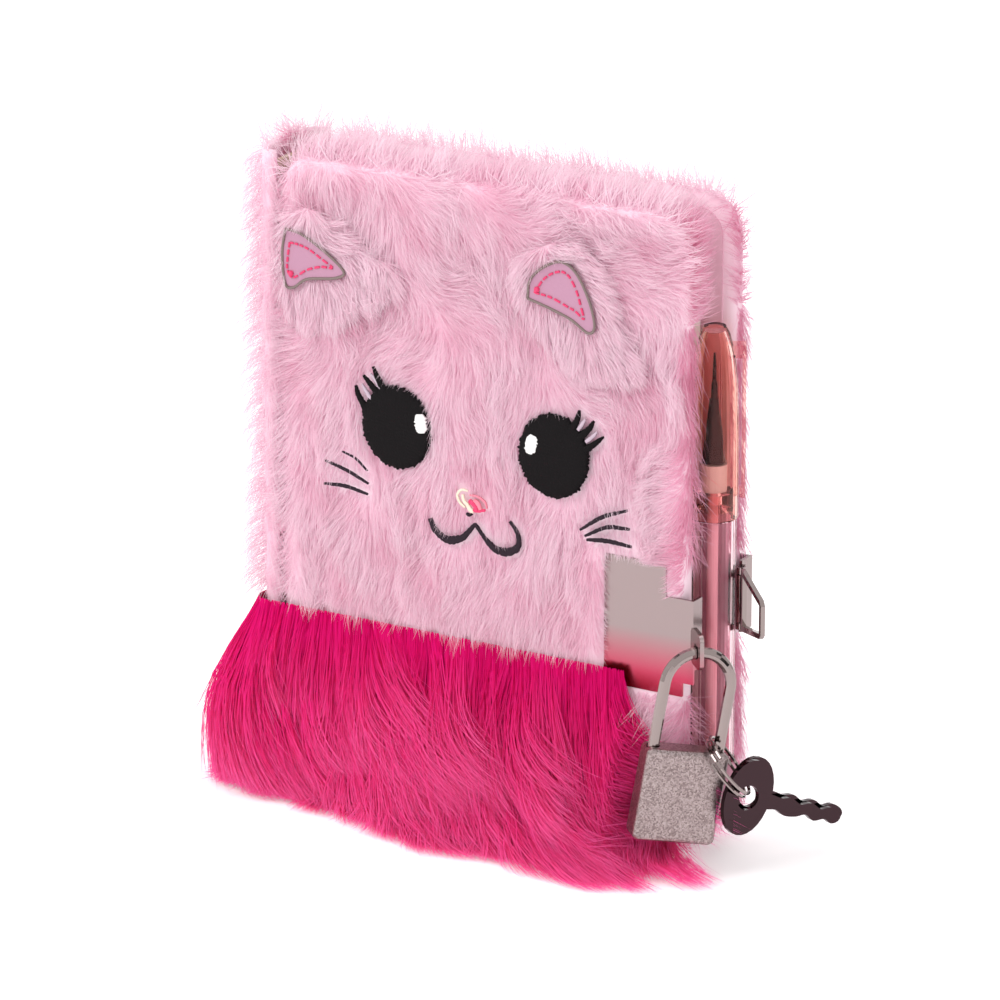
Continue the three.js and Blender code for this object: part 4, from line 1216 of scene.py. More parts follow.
@dataclass
class Fringe:
    """Long hot-pink fur that hangs from the seam and swells to a soft roll over the floor.

    It starts at the X called right, turns the front left corner at a radius and ends on the spine at back_end.
    Behind rein_back and in front of rein_front its spread levels off.
    Each strand has as many points as there are steps.
    """

    right: float = 43.0
    radius: float = 3.0
    back_end: float = 22.0
    rein_back: float = 14.0
    rein_front: float = 38.0
    steps: int = 8

    def __post_init__(self) -> None:
        """Works out the path's lengths."""
        self.front = self.right + HALF_W - self.radius
        self.quarter = self.radius * math.pi / 2
        self.end = self.front + self.quarter + self.back_end
        self.split = self.right - COVER_SPINE_X + 1.0

    def path(self, s: np.ndarray) -> tuple[np.ndarray, np.ndarray, np.ndarray]:
        """Walks from the right end of the seam along the front, round the corner and along the spine.

        Args:
            s: Distance from the right end, in millimetres.

        Returns:
            Points on the face at the seam's level, outward normals, and the swell at each.
        """
        angle = np.clip((s - self.front) / self.radius, 0, math.pi / 2)
        x = np.where(s < self.front, self.right - s, -HALF_W + self.radius * (1 - np.sin(angle)))
        y = -HALF_T + self.radius * (1 - np.cos(angle)) + np.clip(s - self.front - self.quarter, 0, None)
        normal = np.stack([-np.sin(angle), -np.cos(angle), np.zeros(len(s))], axis=1)
        swell = np.interp(s, [0, 6, 24, 50, 85, 97, 104, 112, 120, 134], [8, 15, 19, 19, 10.5, 11, 12.5, 12, 11.5, 9])
        swell = swell * np.sqrt(np.clip((s + 2.0) / 7.0, 0.05, 1)) * np.sqrt(np.clip((self.end - s) / 6, 0.05, 1))
        return np.stack([x, y, np.zeros(len(s))], axis=1), normal, swell

    def depth(self, z: np.ndarray, swell: np.ndarray) -> np.ndarray:
        """How far the fur's outside stands from the face at a height: a quick swell, then an even roll.

        Args:
            z: Heights.
            swell: Fullness there.

        Returns:
            Depths in millimetres.
        """
        down = np.clip((SEAM_Z - z) / SEAM_Z, 0, 1)
        quick, close = np.where(swell < 14, 0.5, 0.7), np.where(swell < 14, 2.45, 1.95)
        return swell * np.power(np.sin(down * close) + 1e-6, quick) + 0.6

    def build(self) -> None:
        """Builds the deep undercoat and the strands, split between the cover and the spine."""
        rng = np.random.default_rng(SEED + 50)
        thin = 1.0
        self._under("fringe_front_under", 1.5, self.split, Body.COVER, "fringe_front")
        self._under("fringe_spine_under", self.split, self.end - 1.5, Body.BOOK, "fringe_spine")
        for name, s0, s1, count, body in (
            ("fringe_front_hair", 0.0, self.split, 50000, Body.COVER),
            ("fringe_spine_hair", self.split, self.end, 17000, Body.BOOK),
        ):
            self._hair(s0, s1, int(count * thin), rng).build(name, body, HOT_FUR, "fringe_fur")

    def _under(self, name: str, s0: float, s1: float, body: Body, node: str) -> None:
        """Builds a closed shell well inside the fur's depth, so that nothing shows through.

        Args:
            name: Name of the piece.
            s0: Start along the path.
            s1: End along the path.
            body: The body it rides on.
            node: The CAD node that it stands for.
        """
        s = np.linspace(s0, s1, 48)
        z = np.linspace(SEAM_Z - 2.5, 1.0, 14)
        base, normal, swell = self.path(s)
        d = self.depth(z[None, :], swell[:, None]) * 0.55 * smooth(SEAM_Z - 1, SEAM_Z - 20, z)[None, :] - 1.2
        outer = base[:, None, :] + normal[:, None, :] * d[:, :, None]
        outer[:, :, 2] = z[None, :]
        back = base[:, None, :] - normal[:, None, :] * 2.6 + np.zeros((1, 2, 1))
        back[:, :, 2] = np.array([1.0, SEAM_Z - 2.5])[None, :]
        ring = np.concatenate([outer, back], axis=1)
        k, m = ring.shape[:2]
        cap = ring_cap(m)
        faces = np.concatenate([ring_quads(k, m), cap[:, ::-1], cap + (k - 1) * m])
        made = make_mesh(name, *outward(ring.reshape(-1, 3), faces))
        place(made, body, HOT_SKIN)
        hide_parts(node)

    def _rein(self, y: np.ndarray) -> np.ndarray:
        """Draws in hair that would spread too far behind the book or in front of it, by curves that level off.

        Args:
            y: Points' Y.

        Returns:
            Their new Y.
        """
        for side, start, room in ((1, self.rein_back, 11.0), (-1, self.rein_front, 5.0)):
            over = np.maximum(side * y - start, 0)
            y = y - side * (over - room * np.tanh(over / room))
        return y

    def _hair(self, s0: float, s1: float, count: int, rng: np.random.Generator) -> Strands:
        """Grows long strands that gather in locks, follow the roll's outside and turn under at the floor.

        A strand starts at its own height, slides from the backing to its own layer of the roll, and falls.

        Args:
            s0: Start along the path.
            s1: End along the path.
            count: How many strands.
            rng: Random source.

        Returns:
            The strands.
        """
        s = rng.uniform(s0, s1, count)
        z0 = SEAM_Z + 1.4 - (SEAM_Z - 5.0) * rng.random(count) ** 1.25
        locks = Locks.gather(s, z0)
        base, normal, swell = self.path(s)
        t = np.linspace(0, 1, self.steps)[None, :]
        length = 25.0 + 13.0 * locks.second + 8.0 * (locks.wide_value - 0.5) + rng.normal(scale=2.2, size=count)
        length = length * (1 + 0.2 * smooth(SEAM_Z - 8, SEAM_Z, z0))
        layer = 0.62 + 0.3 * locks.third + 0.3 * (locks.wide_value - 0.5) + rng.normal(scale=0.07, size=count)
        layer = np.maximum(np.clip(layer, 0.3, 1.18), np.interp(s, [85, 100], [0.3, 0.75]))
        lean = np.interp(s, [0, 12, 45, 80, 98, 112, 134], [18, 23, 22, 13, 2, -8, -8])
        lean = lean + 34 * (locks.wide_value - 0.5) + 30 * (locks.value - 0.5)
        lean = np.radians(lean + rng.normal(scale=5.0, size=count))
        fall = length * np.cos(lean) * 0.95
        down = np.minimum(z0 - 0.6, fall)
        z = z0[:, None] - down[:, None] * (1 - (1 - t) ** 1.25)
        out = self._out(s, z, layer, swell) + self._spill(s, fall - down, locks)
        along = self._along(s, length, lean, locks)
        tangent = np.stack([normal[:, 1], -normal[:, 0], np.zeros(count)], axis=1)
        points = base[:, None, :] + normal[:, None, :] * out[:, :, None] + tangent[:, None, :] * along[:, :, None]
        points[:, :, 1] = self._rein(points[:, :, 1])
        floor = 0.4 + 1.2 * rng.random(count)
        points[:, :, 2] = np.maximum(z, floor[:, None])
        points[:, :, 1] = self._behind_lock(points)
        tone = 1.15 * (0.72 - locks.third) + 0.2 * (1 - locks.wide_value)
        tone = np.clip(tone + rng.normal(scale=0.16, size=count), 0, 1)
        width, roll = rng.uniform(0.17, 0.29, count), rng.uniform(-1.0, 1.0, count)
        return Strands(normal, points, width, tone, roll)

    def _out(self, s: np.ndarray, z: np.ndarray, layer: np.ndarray, swell: np.ndarray) -> np.ndarray:
        """How far each point stands from the face: from the backing at the root to its layer of the roll.

        Args:
            s: Distances along the path.
            z: Heights of the strands' points, the root's first.
            layer: Each strand's share of the roll's depth.
            swell: Fullness at each strand.

        Returns:
            Distances in millimetres.
        """
        t = np.linspace(0, 1, self.steps)[None, :]
        roll_out = self.depth(z, swell[:, None]) * layer[:, None]
        start = np.where(z[:, :1] > SEAM_Z - 5, 0.7, -0.8)
        quick = np.interp(s, [82, 99], [3.0, 8.0])[:, None]
        return start + (roll_out - start) * (1 - (1 - t) ** quick)

    def _spill(self, s: np.ndarray, spare: np.ndarray, locks: Locks) -> np.ndarray:
        """How much further a strand's end runs out over the floor, with what it has left of its fall.

        Args:
            s: Distances along the path.
            spare: Length left when the strand meets the floor.
            locks: The strands' locks.

        Returns:
            Distances in millimetres.
        """
        late = np.linspace(0, 1, self.steps)[None, :] ** 3
        share = np.interp(s, [85, 100], [0.3, 0.08])[:, None]
        return np.clip(spare, 0, 30)[:, None] * share * late + 1.4 * locks.second[:, None] * late

    def _along(self, s: np.ndarray, length: np.ndarray, lean: np.ndarray, locks: Locks) -> np.ndarray:
        """How far each point lies along the path from its root: drawn to its locks, leaning and waving.

        Args:
            s: Distances along the path.
            length: Strands' lengths.
            lean: Their leans in radians.
            locks: Their locks.

        Returns:
            Distances in millimetres.
        """
        t = np.linspace(0, 1, self.steps)[None, :]
        gather = (locks.small[:, 0] - s) * 0.75 + (locks.wide[:, 0] - s) * 0.12
        phase = locks.value[:, None] * 20 + locks.wide_value[:, None] * 7
        wave = (0.8 + 2.2 * locks.third[:, None]) * np.sin(t * 4.4 + phase) * t
        return gather[:, None] * t**1.1 - (length * np.sin(lean))[:, None] * t**1.35 + wave

    def _behind_lock(self, points: np.ndarray) -> np.ndarray:
        """Holds points near the padlock behind it.

        Args:
            points: Strands' points.

        Returns:
            Their new Y.
        """
        near = smooth(45.5, 50, points[:, :, 0]) * smooth(4.5, 8.5, points[:, :, 2])
        held = np.maximum(points[:, :, 1], -HALF_T - 2.2)
        return points[:, :, 1] * (1 - near) + held * near


def tube(name: str, points: np.ndarray, radius: np.ndarray | float, sides: int = 8) -> bpy.types.Object:
    """Makes a closed round tube along points, with pointed ends where the radius falls to nothing.

    Args:
        name: Name of the piece.
        points: Points in rows.
        radius: Radius at each point, or one for all.
        sides: How many sides.

    Returns:
        The object.
    """
    points = np.asarray(points, float)
    count = len(points)
    radius = np.broadcast_to(np.asarray(radius, float), (count,))
    run = unit(np.gradient(points, axis=0))
    side = unit(np.cross(run, np.array([0.0, 1.0, 0.0])) + 1e-9)
    up = unit(np.cross(side, run))
    angle = np.linspace(0, 2 * math.pi, sides, endpoint=False)
    ring = np.cos(angle)[None, :, None] * side[:, None, :] + np.sin(angle)[None, :, None] * up[:, None, :]
    verts = (points[:, None, :] + ring * radius[:, None, None]).reshape(-1, 3)
    verts = np.concatenate([verts, points[:1], points[-1:]])
    quads = ring_quads(count, sides)[:, [0, 3, 2, 1]]
    first = ring_fan(count * sides, 0, sides)
    last = ring_fan(count * sides + 1, (count - 1) * sides, sides)[:, [0, 2, 1]]
    return make_mesh(name, verts, np.concatenate([split_quads(quads), first, last]))


def curve_through(points: list[tuple[float, float]], count: int) -> np.ndarray:
    """Runs a smooth line through points, with Catmull-Rom pieces.

    Args:
        points: Points to pass through.
        count: How many points to return.

    Returns:
        Points in rows, as many numbers in each as were given.
    """
    p = np.asarray(points, float)
    p = np.concatenate([2 * p[:1] - p[1:2], p, 2 * p[-1:] - p[-2:-1]])
    t = np.linspace(0, len(p) - 3 - 1e-9, count)
    i = t.astype(int)
    f = (t - i)[:, None]
    a, b, c, d = p[i], p[i + 1], p[i + 2], p[i + 3]
    return 0.5 * (2 * b + (c - a) * f + (2 * a - 5 * b + 4 * c - d) * f**2 + (3 * b - a - 3 * c + d) * f**3)


def on_front(points: np.ndarray, y: float) -> np.ndarray:
    """Lifts [x, z] points to the front at a depth.

    Args:
        points: Points in rows.
        y: Their Y.

    Returns:
        Points with three numbers in each row.
    """
    return np.column_stack([points[:, 0], np.full(len(points), y), points[:, 1]])


def satin(name: str, line: np.ndarray, half: np.ndarray, y: float, seed: int, pitch: float = 0.42) -> bpy.types.Object:
    """Makes a row of satin stitches: a rounded band whose width and height ripple with each thread.

    Across the band the height is a half ellipse. Along it every thread adds a small ridge and its own length.

    Args:
        name: Name of the piece.
        line: Middle of the band as [x, z].
        half: Half width along the line.
        y: Depth of the band's base.
        seed: Which ripple.
        pitch: Distance between threads.

    Returns:
        The object.
    """
    length = np.concatenate([[0], np.cumsum(np.linalg.norm(np.diff(line, axis=0), axis=1))])
    count = max(8, int(length[-1] / pitch) * 4)
    at = np.linspace(0, length[-1], count)
    middle = np.column_stack([np.interp(at, length, line[:, k]) for k in (0, 1)])
    wide = np.interp(at, length, half)
    rng = np.random.default_rng(SEED + seed)
    thread = np.floor(at / pitch).astype(int)
    reach = 1 + 0.28 * (rng.random((thread.max() + 1, 2)) - 0.5)
    ridge = np.abs(np.sin(np.pi * at / pitch))
    run = unit(np.gradient(middle, axis=0))
    side = np.column_stack([-run[:, 1], run[:, 0]])
    across = np.linspace(-1, 1, 7)
    far = np.where(across[None, :] > 0, reach[thread, 0][:, None], reach[thread, 1][:, None])
    flat = middle[:, None, :] + side[:, None, :] * (wide[:, None] * across[None, :] * far)[:, :, None]
    dome = np.sqrt(1 - 0.93 * across[None, :] ** 2) * (0.7 + 0.3 * ridge[:, None])
    height = 0.12 + 0.55 * np.minimum(wide, 0.7)[:, None] * dome
    front = np.stack([flat[:, :, 0], y - height, flat[:, :, 1]], axis=-1)
    back = np.stack([flat[:, ::-1, 0], np.full_like(height, y + 0.3), flat[:, ::-1, 1]], axis=-1)
    ring = np.concatenate([front, back], axis=1)
    k, m = ring.shape[:2]
    cap = ring_cap(m)
    faces = np.concatenate([ring_quads(k, m), cap[:, ::-1], cap + (k - 1) * m])
    return make_mesh(name, *outward(ring.reshape(-1, 3), faces))


@dataclass(frozen=True)
class Face:
    """Embroidered eyes, lashes, nose, mouth and whiskers, whose backing lies at the depth y."""

    y: float = -14.6

    def build(self) -> None:
        """Builds the embroidery over the CAD pieces' places."""
        for index, (side, (cx, cz, hw, hh)) in enumerate(EYES.items()):
            eye = self._eye(f"eye_{side}_threads", cx, cz, hw, hh, math.radians(8 if side == "left" else -6), index)
            place(eye, Body.COVER, BLACK_THREAD)
            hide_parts(f"eye_{side}")
        self._lashes()
        self._glints()
        self._mouth()
        self._nose()
        self._whiskers()

    def _eye(self, name: str, cx: float, cz: float, hw: float, hh: float, turn: float, index: int) -> bpy.types.Object:
        """Builds a low dome of level threads inside a turned ellipse with a slightly ragged rim.

        The height is a flat dome, and each thread adds a ridge whose phase follows Z.

        Args:
            name: Name of the piece.
            cx: Middle X.
            cz: Middle Z.
            hw: Half width.
            hh: Half height.
            turn: Turn of the ellipse in radians.
            index: Which eye.

        Returns:
            The object.
        """
        around, rings = 180, 26
        angle = np.linspace(0, 2 * math.pi, around, endpoint=False)
        rng = np.random.default_rng(SEED + 300 + index)
        rag = 1 + 0.022 * rng.normal(size=around)
        share = np.linspace(0.02, 1, rings)
        u = hw * np.cos(angle)[None, :] * share[:, None] * rag[None, :]
        w = hh * np.sin(angle)[None, :] * share[:, None] * rag[None, :]
        x = cx + u * math.cos(turn) - w * math.sin(turn)
        z = cz + u * math.sin(turn) + w * math.cos(turn)
        ridge = 0.07 * np.abs(np.sin(np.pi * (z + 0.25 * np.sin(x * 0.8)) / 0.9))
        y = self.y - 0.15 - 0.75 * np.sqrt(np.clip(1 - share[:, None] ** 4, 0, 1)) - ridge
        front = np.stack([x, y, z], axis=-1).reshape(-1, 3)
        rim = front[-around:] * np.array([1, 0, 1]) + np.array([0, self.y + 0.5, 0])
        middle = front[:around].mean(axis=0)
        under = np.array([cx, self.y + 0.5, cz])
        verts = np.concatenate([front, rim, [middle, under]])
        sides = split_quads(ring_quads(rings + 1, around))
        top = ring_fan(len(verts) - 2, 0, around)[:, [0, 2, 1]]
        bottom = ring_fan(len(verts) - 1, rings * around, around)
        return make_mesh(name, *outward(verts, np.concatenate([sides, top, bottom])))

    def _lashes(self) -> None:
        """Builds three lashes at each eye, with pale threads between them."""
        for index, (name, points) in enumerate(LASHES.items()):
            half = 0.85 * np.array([1, 1.02, 0.98, 0.9, 0.8, 0.7, 0.55, 0.3])
            line = curve_through(points, 8)
            made = satin(f"lash_{name}", line, half, self.y - 0.25, 20 + index)
            place(made, Body.COVER, BLACK_THREAD)
        between = {
            "left_1": ((-27.0, 103.4), (-28.4, 105.0), (-29.8, 107.0)),
            "left_2": ((-24.3, 106.6), (-25.6, 108.2), (-27.4, 110.0)),
            "right_1": ((30.2, 105.2), (31.3, 106.8), (32.2, 108.2)),
            "right_2": ((32.4, 102.6), (34.0, 104.0), (35.4, 105.6)),
        }
        for index, (name, points) in enumerate(between.items()):
            line = curve_through(points, 6)
            half = 0.5 * np.array([0.9, 1, 1, 0.9, 0.7, 0.3])
            made = satin(f"lash_gap_{name}", line, half, self.y - 0.1, 40 + index)
            place(made, Body.COVER, PALE_THREAD)

    def _glints(self) -> None:
        """Builds the white glints on the eyes."""
        spots = {"left": (-12.9, 99.9, 0.3), "right": (17.8, 99.8, -0.6)}
        for index, (name, (cx, cz, lean)) in enumerate(spots.items()):
            line = curve_through([(cx - lean, cz + 2.3), (cx, cz), (cx + lean, cz - 2.3)], 9)
            half = 1.55 * np.sqrt(np.clip(1 - np.linspace(-0.93, 0.93, 9) ** 4, 0.05, 1))
            made = satin(f"glint_{name}", line, half, self.y - 0.75, 60 + index)
            place(made, Body.COVER, WHITE_THREAD)

    def _mouth(self) -> None:
        """Builds the mouth as one band of stitches, thick in both lobes and thin at its ends."""
        half = [0.5, 0.75, 0.85, 0.95, 0.9, 0.6, 0.45, 0.4, 0.6, 0.85, 1.0, 0.85, 0.6, 0.45, 0.3]
        line = curve_through(MOUTH, 90)
        wide = np.interp(np.linspace(0, 1, 90), np.linspace(0, 1, len(half)), half)
        made = satin("mouth_threads", line, wide, self.y, 1, 0.5)
        place(made, Body.COVER, GREY_THREAD)
        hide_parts("mouth")

    def _nose(self) -> None:
        """Builds the small nose: cream loops at its upper left and pink stitches at its lower right."""
        loops = {
            "nose_loop_1": (((-0.2, 84.9), (-2.0, 84.9), (-3.2, 83.4), (-2.4, 81.6), (-1.0, 80.6)), 0.32, CREAM_THREAD),
            "nose_loop_2": (((-1.6, 83.8), (-1.2, 82.2), (0.0, 81.4)), 0.42, CREAM_THREAD),
            "nose_loop_3": (((0.4, 84.0), (2.4, 84.0), (4.6, 83.0), (5.2, 81.4)), 0.22, PINK_THREAD),
            "nose_stitch_2": (((-0.6, 81.8), (0.4, 80.4), (1.4, 79.8)), 0.55, CREAM_THREAD),
            "nose_stitch_3": (((0.2, 82.6), (1.8, 81.6), (2.4, 80.0)), 0.6, HOT_THREAD),
            "nose_stitch_4": (((1.6, 83.0), (2.8, 82.2), (3.4, 80.8)), 0.55, PINK_THREAD),
            "nose_stitch_5": (((1.2, 80.2), (2.8, 80.4), (4.6, 80.8)), 0.4, HOT_THREAD),
            "nose_dot": (((-0.6, 79.2), (0.2, 78.9), (1.0, 79.3)), 0.4, GREY_THREAD),
        }
        for index, (name, (points, wide, finish)) in enumerate(loops.items()):
            line = curve_through(points, 12)
            half = wide * np.sin(np.linspace(0.5, 2.64, 12)) ** 0.5
            made = satin(name, line, half, self.y - 0.1 * (index % 3), 80 + index)
            place(made, Body.COVER, finish)
            if index == 0:
                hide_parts("nose")

    def _whiskers(self) -> None:
        """Builds three whiskers on each side as thin rows of slanted stitches."""
        for index, (name, (points, wide)) in enumerate(WHISKERS.items()):
            line = curve_through(points, 20)
            half = wide * (0.45 + 0.55 * np.sin(np.linspace(0.3, 2.9, 20)))
            made = satin(f"whisker_{name}", line, half, self.y - 0.1, 100 + index)
            place(made, Body.COVER, GREY_THREAD)


@dataclass(frozen=True)
class Ears:
    """Furry ear flaps with satin patches, and an edge thread and a pink running stitch at the depth y."""

    y: float = -16.85

    def build(self) -> None:
        """Builds both ears."""
        thin = 1.0
        for index, shape in enumerate((EAR_LEFT, EAR_RIGHT)):
            Paint.put(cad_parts[f"ear_patch_{shape.side}"], SATIN)
            flap = make_mesh(f"ear_flap_{shape.side}", *self._flap(shape.flap()))
            place(flap, Body.COVER, SKIN)
            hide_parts(f"ear_{shape.side}")
            self._fur(flap, shape, int(9000 * thin), index)
            self._threads(shape)

    def _flap(self, outline: np.ndarray) -> tuple[np.ndarray, np.ndarray]:
        """Builds a flat pillow inside an outline: rings that shrink to its middle on both faces.

        Args:
            outline: Corners in rows.

        Returns:
            Points and triangles.
        """
        count = 72
        line = curve_through([*outline, outline[0]], count + 1)[:-1]
        middle = line.mean(axis=0)
        plan = [(0.02, -15.7), (0.5, -15.7), (0.85, -15.6), (0.95, -15.3), (0.985, -14.8), (0.95, -13.6), (0.02, -13.2)]
        rings = [np.column_stack([*(middle + (line - middle) * k).T, np.full(count, y)])[:, [0, 2, 1]] for k, y in plan]
        verts = np.concatenate(rings)
        verts = np.concatenate([verts, [verts[:count].mean(axis=0), verts[-count:].mean(axis=0)]])
        tris = split_quads(ring_quads(len(plan), count))
        first = ring_fan(len(verts) - 2, 0, count)[:, [0, 2, 1]]
        last = ring_fan(len(verts) - 1, (len(plan) - 1) * count, count)
        return outward(verts, np.concatenate([tris, first, last]))

    def _fur(self, flap: bpy.types.Object, shape: EarShape, count: int, index: int) -> None:
        """Grows the flap's fur, which runs away from the patch and over the flap's edge.

        Args:
            flap: The flap.
            shape: Its outlines.
            count: How many strands.
            index: Which ear.
        """
        rng = np.random.default_rng(SEED + 80 + index)
        p, n = surface_points(flap, count * 2, rng)
        patch = shape.patch()
        middle = patch.mean(axis=0)
        grown = middle + (patch - middle) * 0.97
        keep = (n[:, 1] < 0.2) & ~inside(p[:, 0], p[:, 2], grown)
        p, n = p[keep], n[keep]
        away = unit(np.column_stack([p[:, 0] - middle[0], np.zeros(len(p)), p[:, 2] - middle[1]]))
        turn = 0.5 * wave_noise(p, 18, 31 + index)
        lie = unit(away * 0.6 + np.column_stack([0.45 + turn, np.zeros(len(p)), -0.75 + turn]))
        lie = unit(lie - (lie * n).sum(axis=1, keepdims=True) * n + rng.normal(scale=0.15, size=p.shape))
        length = rng.uniform(4.5, 7.5, len(p))
        t = np.linspace(0, 1, 5)[None, :, None]
        lift = rng.uniform(0.5, 1.3, len(p))[:, None, None]
        rise, run = np.sin(t * 1.8) * lift, length[:, None, None] * t**1.2
        points = p[:, None, :] + n[:, None, :] * rise + lie[:, None, :] * run
        centre, value = clump_centres(p, 4.5, 70 + index)
        points = points + (centre - p)[:, None, :] * t**1.4 * np.array([0.5, 0.0, 0.5])
        tone = np.clip(0.3 * (1 - value) + rng.normal(scale=0.14, size=len(p)), 0, 1)
        width, roll = rng.uniform(0.16, 0.24, len(p)), rng.uniform(-0.7, 0.7, len(p))
        hair = Strands(n, trimmed(points), width, tone, roll)
        hair.build(f"ear_fur_{shape.side}", Body.COVER, LIGHT_FUR, "plush")

    def _threads(self, shape: EarShape) -> None:
        """Sews the patch: a thin edge thread, a running stitch and its knot.

        Args:
            shape: The ear's outlines.
        """
        patch = shape.patch()
        edge = on_front(curve_through([*patch, patch[0]], 90), self.y)
        place(tube(f"ear_edge_{shape.side}", edge, 0.36, 6), Body.COVER, OLIVE_THREAD)
        stitch = shape.stitch()
        line = curve_through([*stitch, stitch[0]], 120)
        for k in range(0, 116, 6):
            dash = on_front(line[k : k + 5], self.y - 0.05)
            made = tube(f"ear_stitch_{shape.side}_{k // 6}", dash, 0.3, 5)
            place(made, Body.COVER, HOT_THREAD)
        at = np.array(shape.knot)
        knot = on_front(at + np.linspace(-1, 1, 9)[:, None] * np.array([0.5, -0.5]), self.y - 0.1)
        swell = 0.75 * np.sqrt(np.clip(1 - np.linspace(-1, 1, 9) ** 2, 0.05, 1))
        place(tube(f"ear_knot_{shape.side}", knot, swell, 8), Body.COVER, HOT_THREAD)


FINISHES: dict[str, Finish] = {
    "front_clasp_plate": PLATE_METAL, "back_clasp_plate": NICKEL, "hasp_pin": CHROME, "hasp_ring": CHROME,
    "padlock_shackle": CHROME, "padlock_case": GLITTER, "padlock_latch": BRASS, "padlock_plug": BRASS,
    "key_ring": CHROME, "key_front": DARK_NICKEL, "key_back": DARK_NICKEL,
    "pen_barrel": BARREL, "pen_cap": CORAL, "pen_tail_plug": CORAL, "pen_refill": INK,
    "pen_collar": WHITE_PLASTIC, "pen_cone": DARK_NICKEL, "pen_needle": DARK_NICKEL, "pen_loop": ELASTIC,
    "leaves_front": PAPER, "leaves_middle": PAPER, "leaves_back": PAPER, "spine_lining": CLOTH,
    "spine_board": BOARD, "front_board": BOARD, "back_board": BOARD, "front_foam": CLOTH, "back_foam": CLOTH,
    "front_endpaper": ENDPAPER, "back_endpaper": ENDPAPER, "ear_left": SKIN, "ear_right": SKIN,
}


@dataclass(frozen=True)
class Lamp:
    """A square lamp that looks at the object: its place and side in metres, and its power in watts."""

    name: str
    spot: tuple[float, float, float]
    size: float
    watts: float

    def hang(self) -> None:
        """Adds the lamp to the scene."""
        data = bpy.data.lights.new(self.name, "AREA")
        data.size = self.size
        data.energy = self.watts
        lamp = bpy.data.objects.new(self.name, data)
        lamp.location = self.spot
        lamp.rotation_mode = "QUATERNION"
        lamp.rotation_quaternion = (Vector((0, 0, 0.08)) - Vector(self.spot)).to_track_quat("-Z", "Y")
        bpy.context.scene.collection.objects.link(lamp)


@dataclass(frozen=True)
class Card:
    """A dark card, seen only by shiny pieces: its middle, and its reach along X, Y and Z, in metres."""

    name: str
    spot: tuple[float, float, float]
    reach: tuple[float, float, float]

    def hang(self) -> None:
        """Adds the card to the scene."""
        wide = np.array([self.reach[0], self.reach[1], 0.0]) / 2
        tall = np.array([0.0, 0.0, self.reach[2]]) / 2
        middle = np.array(self.spot)
        corners = np.array([middle - wide - tall, middle + wide - tall, middle + wide + tall, middle - wide + tall])
        card = make_mesh(self.name, corners / MM - SHIFT, np.array([[0, 1, 2, 3]]))
        Paint.put(card, CARD_BLACK)
        card.visible_diffuse = False
        card.visible_shadow = False
        card.visible_camera = False
        card.visible_transmission = False


CARD_BLACK = Plain("flag", (0.02, 0.018, 0.02, 1.0), 1.0)
FLOOR_WHITE = Plain("floor", (0.94, 0.94, 0.94, 1.0), 0.9, glow=0.3)
RIG = (
    Lamp("key", (-0.55, -0.75, 0.95), 0.75, 7.0),
    Lamp("fill", (0.85, -0.6, 0.6), 0.7, 0.9),
    Lamp("top", (0.0, 0.1, 1.1), 0.9, 2.6),
    Card("flag_left", (-0.62, -0.25, 0.12), (0.5, 0.0, 0.36)),
    Card("flag_right", (0.55, 0.15, 0.2), (0.0, 0.5, 0.5)),
    Card("flag_front", (0.28, -0.75, 0.5), (0.3, 0.0, 0.12)),
)


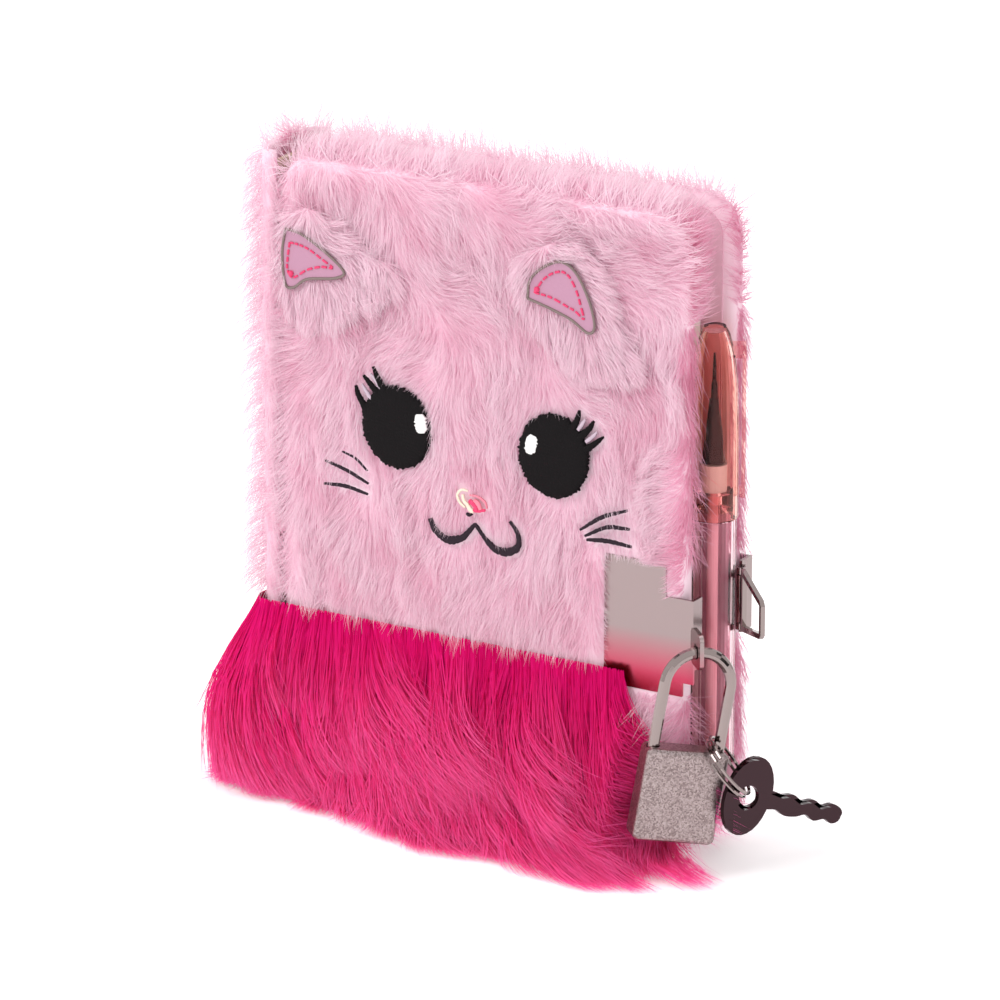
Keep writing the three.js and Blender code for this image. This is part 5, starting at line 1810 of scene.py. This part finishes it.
@dataclass(frozen=True)
class Studio:
    """Floor, lights, world and camera. Angles are in degrees, lengths in metres, and the lens is in millimetres."""

    floor_half: float = 3.0
    soft_light: float = 0.78
    azimuth: float = 30.85
    elevation: float = 18.315
    distance: float = 1.6
    target_height: float = 0.0785
    lens: float = 238.93

    def build(self) -> None:
        """Builds the studio."""
        self._floor()
        for item in RIG:
            item.hang()
        self._world()
        self._camera()

    def _floor(self) -> None:
        """Lays a pale floor under the object."""
        half = self.floor_half
        corners = np.array([(-half, -half, 0), (half, -half, 0), (half, half, 0), (-half, half, 0)]) / MM
        floor = make_mesh("floor", corners - SHIFT * np.array([1, 1, 0]), np.array([[0, 1, 2, 3]]))
        Paint.put(floor, FLOOR_WHITE)

    def _world(self) -> None:
        """Lights softly from all round, and shows white to the camera, shiny pieces and clear ones."""
        world = bpy.data.worlds.new("studio")
        bpy.context.scene.world = world
        world.use_nodes = True
        tree = world.node_tree
        soft = tree.nodes["Background"]
        soft.inputs["Color"].default_value = (1.0, 0.985, 0.985, 1.0)
        soft.inputs["Strength"].default_value = self.soft_light
        white = tree.nodes.new("ShaderNodeBackground")
        white.inputs["Color"].default_value = (1.0, 1.0, 1.0, 1.0)
        white.inputs["Strength"].default_value = 1.0
        ray = tree.nodes.new("ShaderNodeLightPath").outputs
        direct = math_node(tree, "MAXIMUM", ray["Is Camera Ray"], ray["Is Glossy Ray"])
        direct = math_node(tree, "MAXIMUM", direct, ray["Is Transmission Ray"])
        mix = tree.nodes.new("ShaderNodeMixShader")
        for socket, source in zip(mix.inputs, (direct, soft.outputs[0], white.outputs[0])):
            tree.links.new(source, socket)
        tree.links.new(mix.outputs[0], tree.nodes["World Output"].inputs["Surface"])

    def _camera(self) -> None:
        """Sets the camera as fitted to the photo."""
        azimuth, elevation = math.radians(self.azimuth), math.radians(self.elevation)
        data = bpy.data.cameras.new("camera")
        data.lens = self.lens
        data.sensor_width = 36.0
        data.clip_start, data.clip_end = 0.05, 20.0
        camera = bpy.data.objects.new("camera", data)
        target = Vector((SHIFT[0] * MM, SHIFT[1] * MM, self.target_height))
        level = math.cos(elevation)
        back = Vector((math.sin(azimuth) * level, -math.cos(azimuth) * level, math.sin(elevation)))
        camera.location = target + back * self.distance
        camera.rotation_mode = "QUATERNION"
        camera.rotation_quaternion = (-back).to_track_quat("-Z", "Y")
        bpy.context.scene.collection.objects.link(camera)
        bpy.context.scene.camera = camera
        bpy.context.scene.view_settings.view_transform = "Standard"


def main() -> None:
    """Builds the whole scene."""
    logging.basicConfig(level=logging.INFO, format="%(message)s")
    for node, finish in FINISHES.items():
        Paint.put(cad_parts[node], finish)
        log.info("%s: %s", node, finish.name)
    Coat().build()
    Fringe().build()
    Face().build()
    Ears().build()
    Studio().build()


if __name__ == "__main__":
    main()
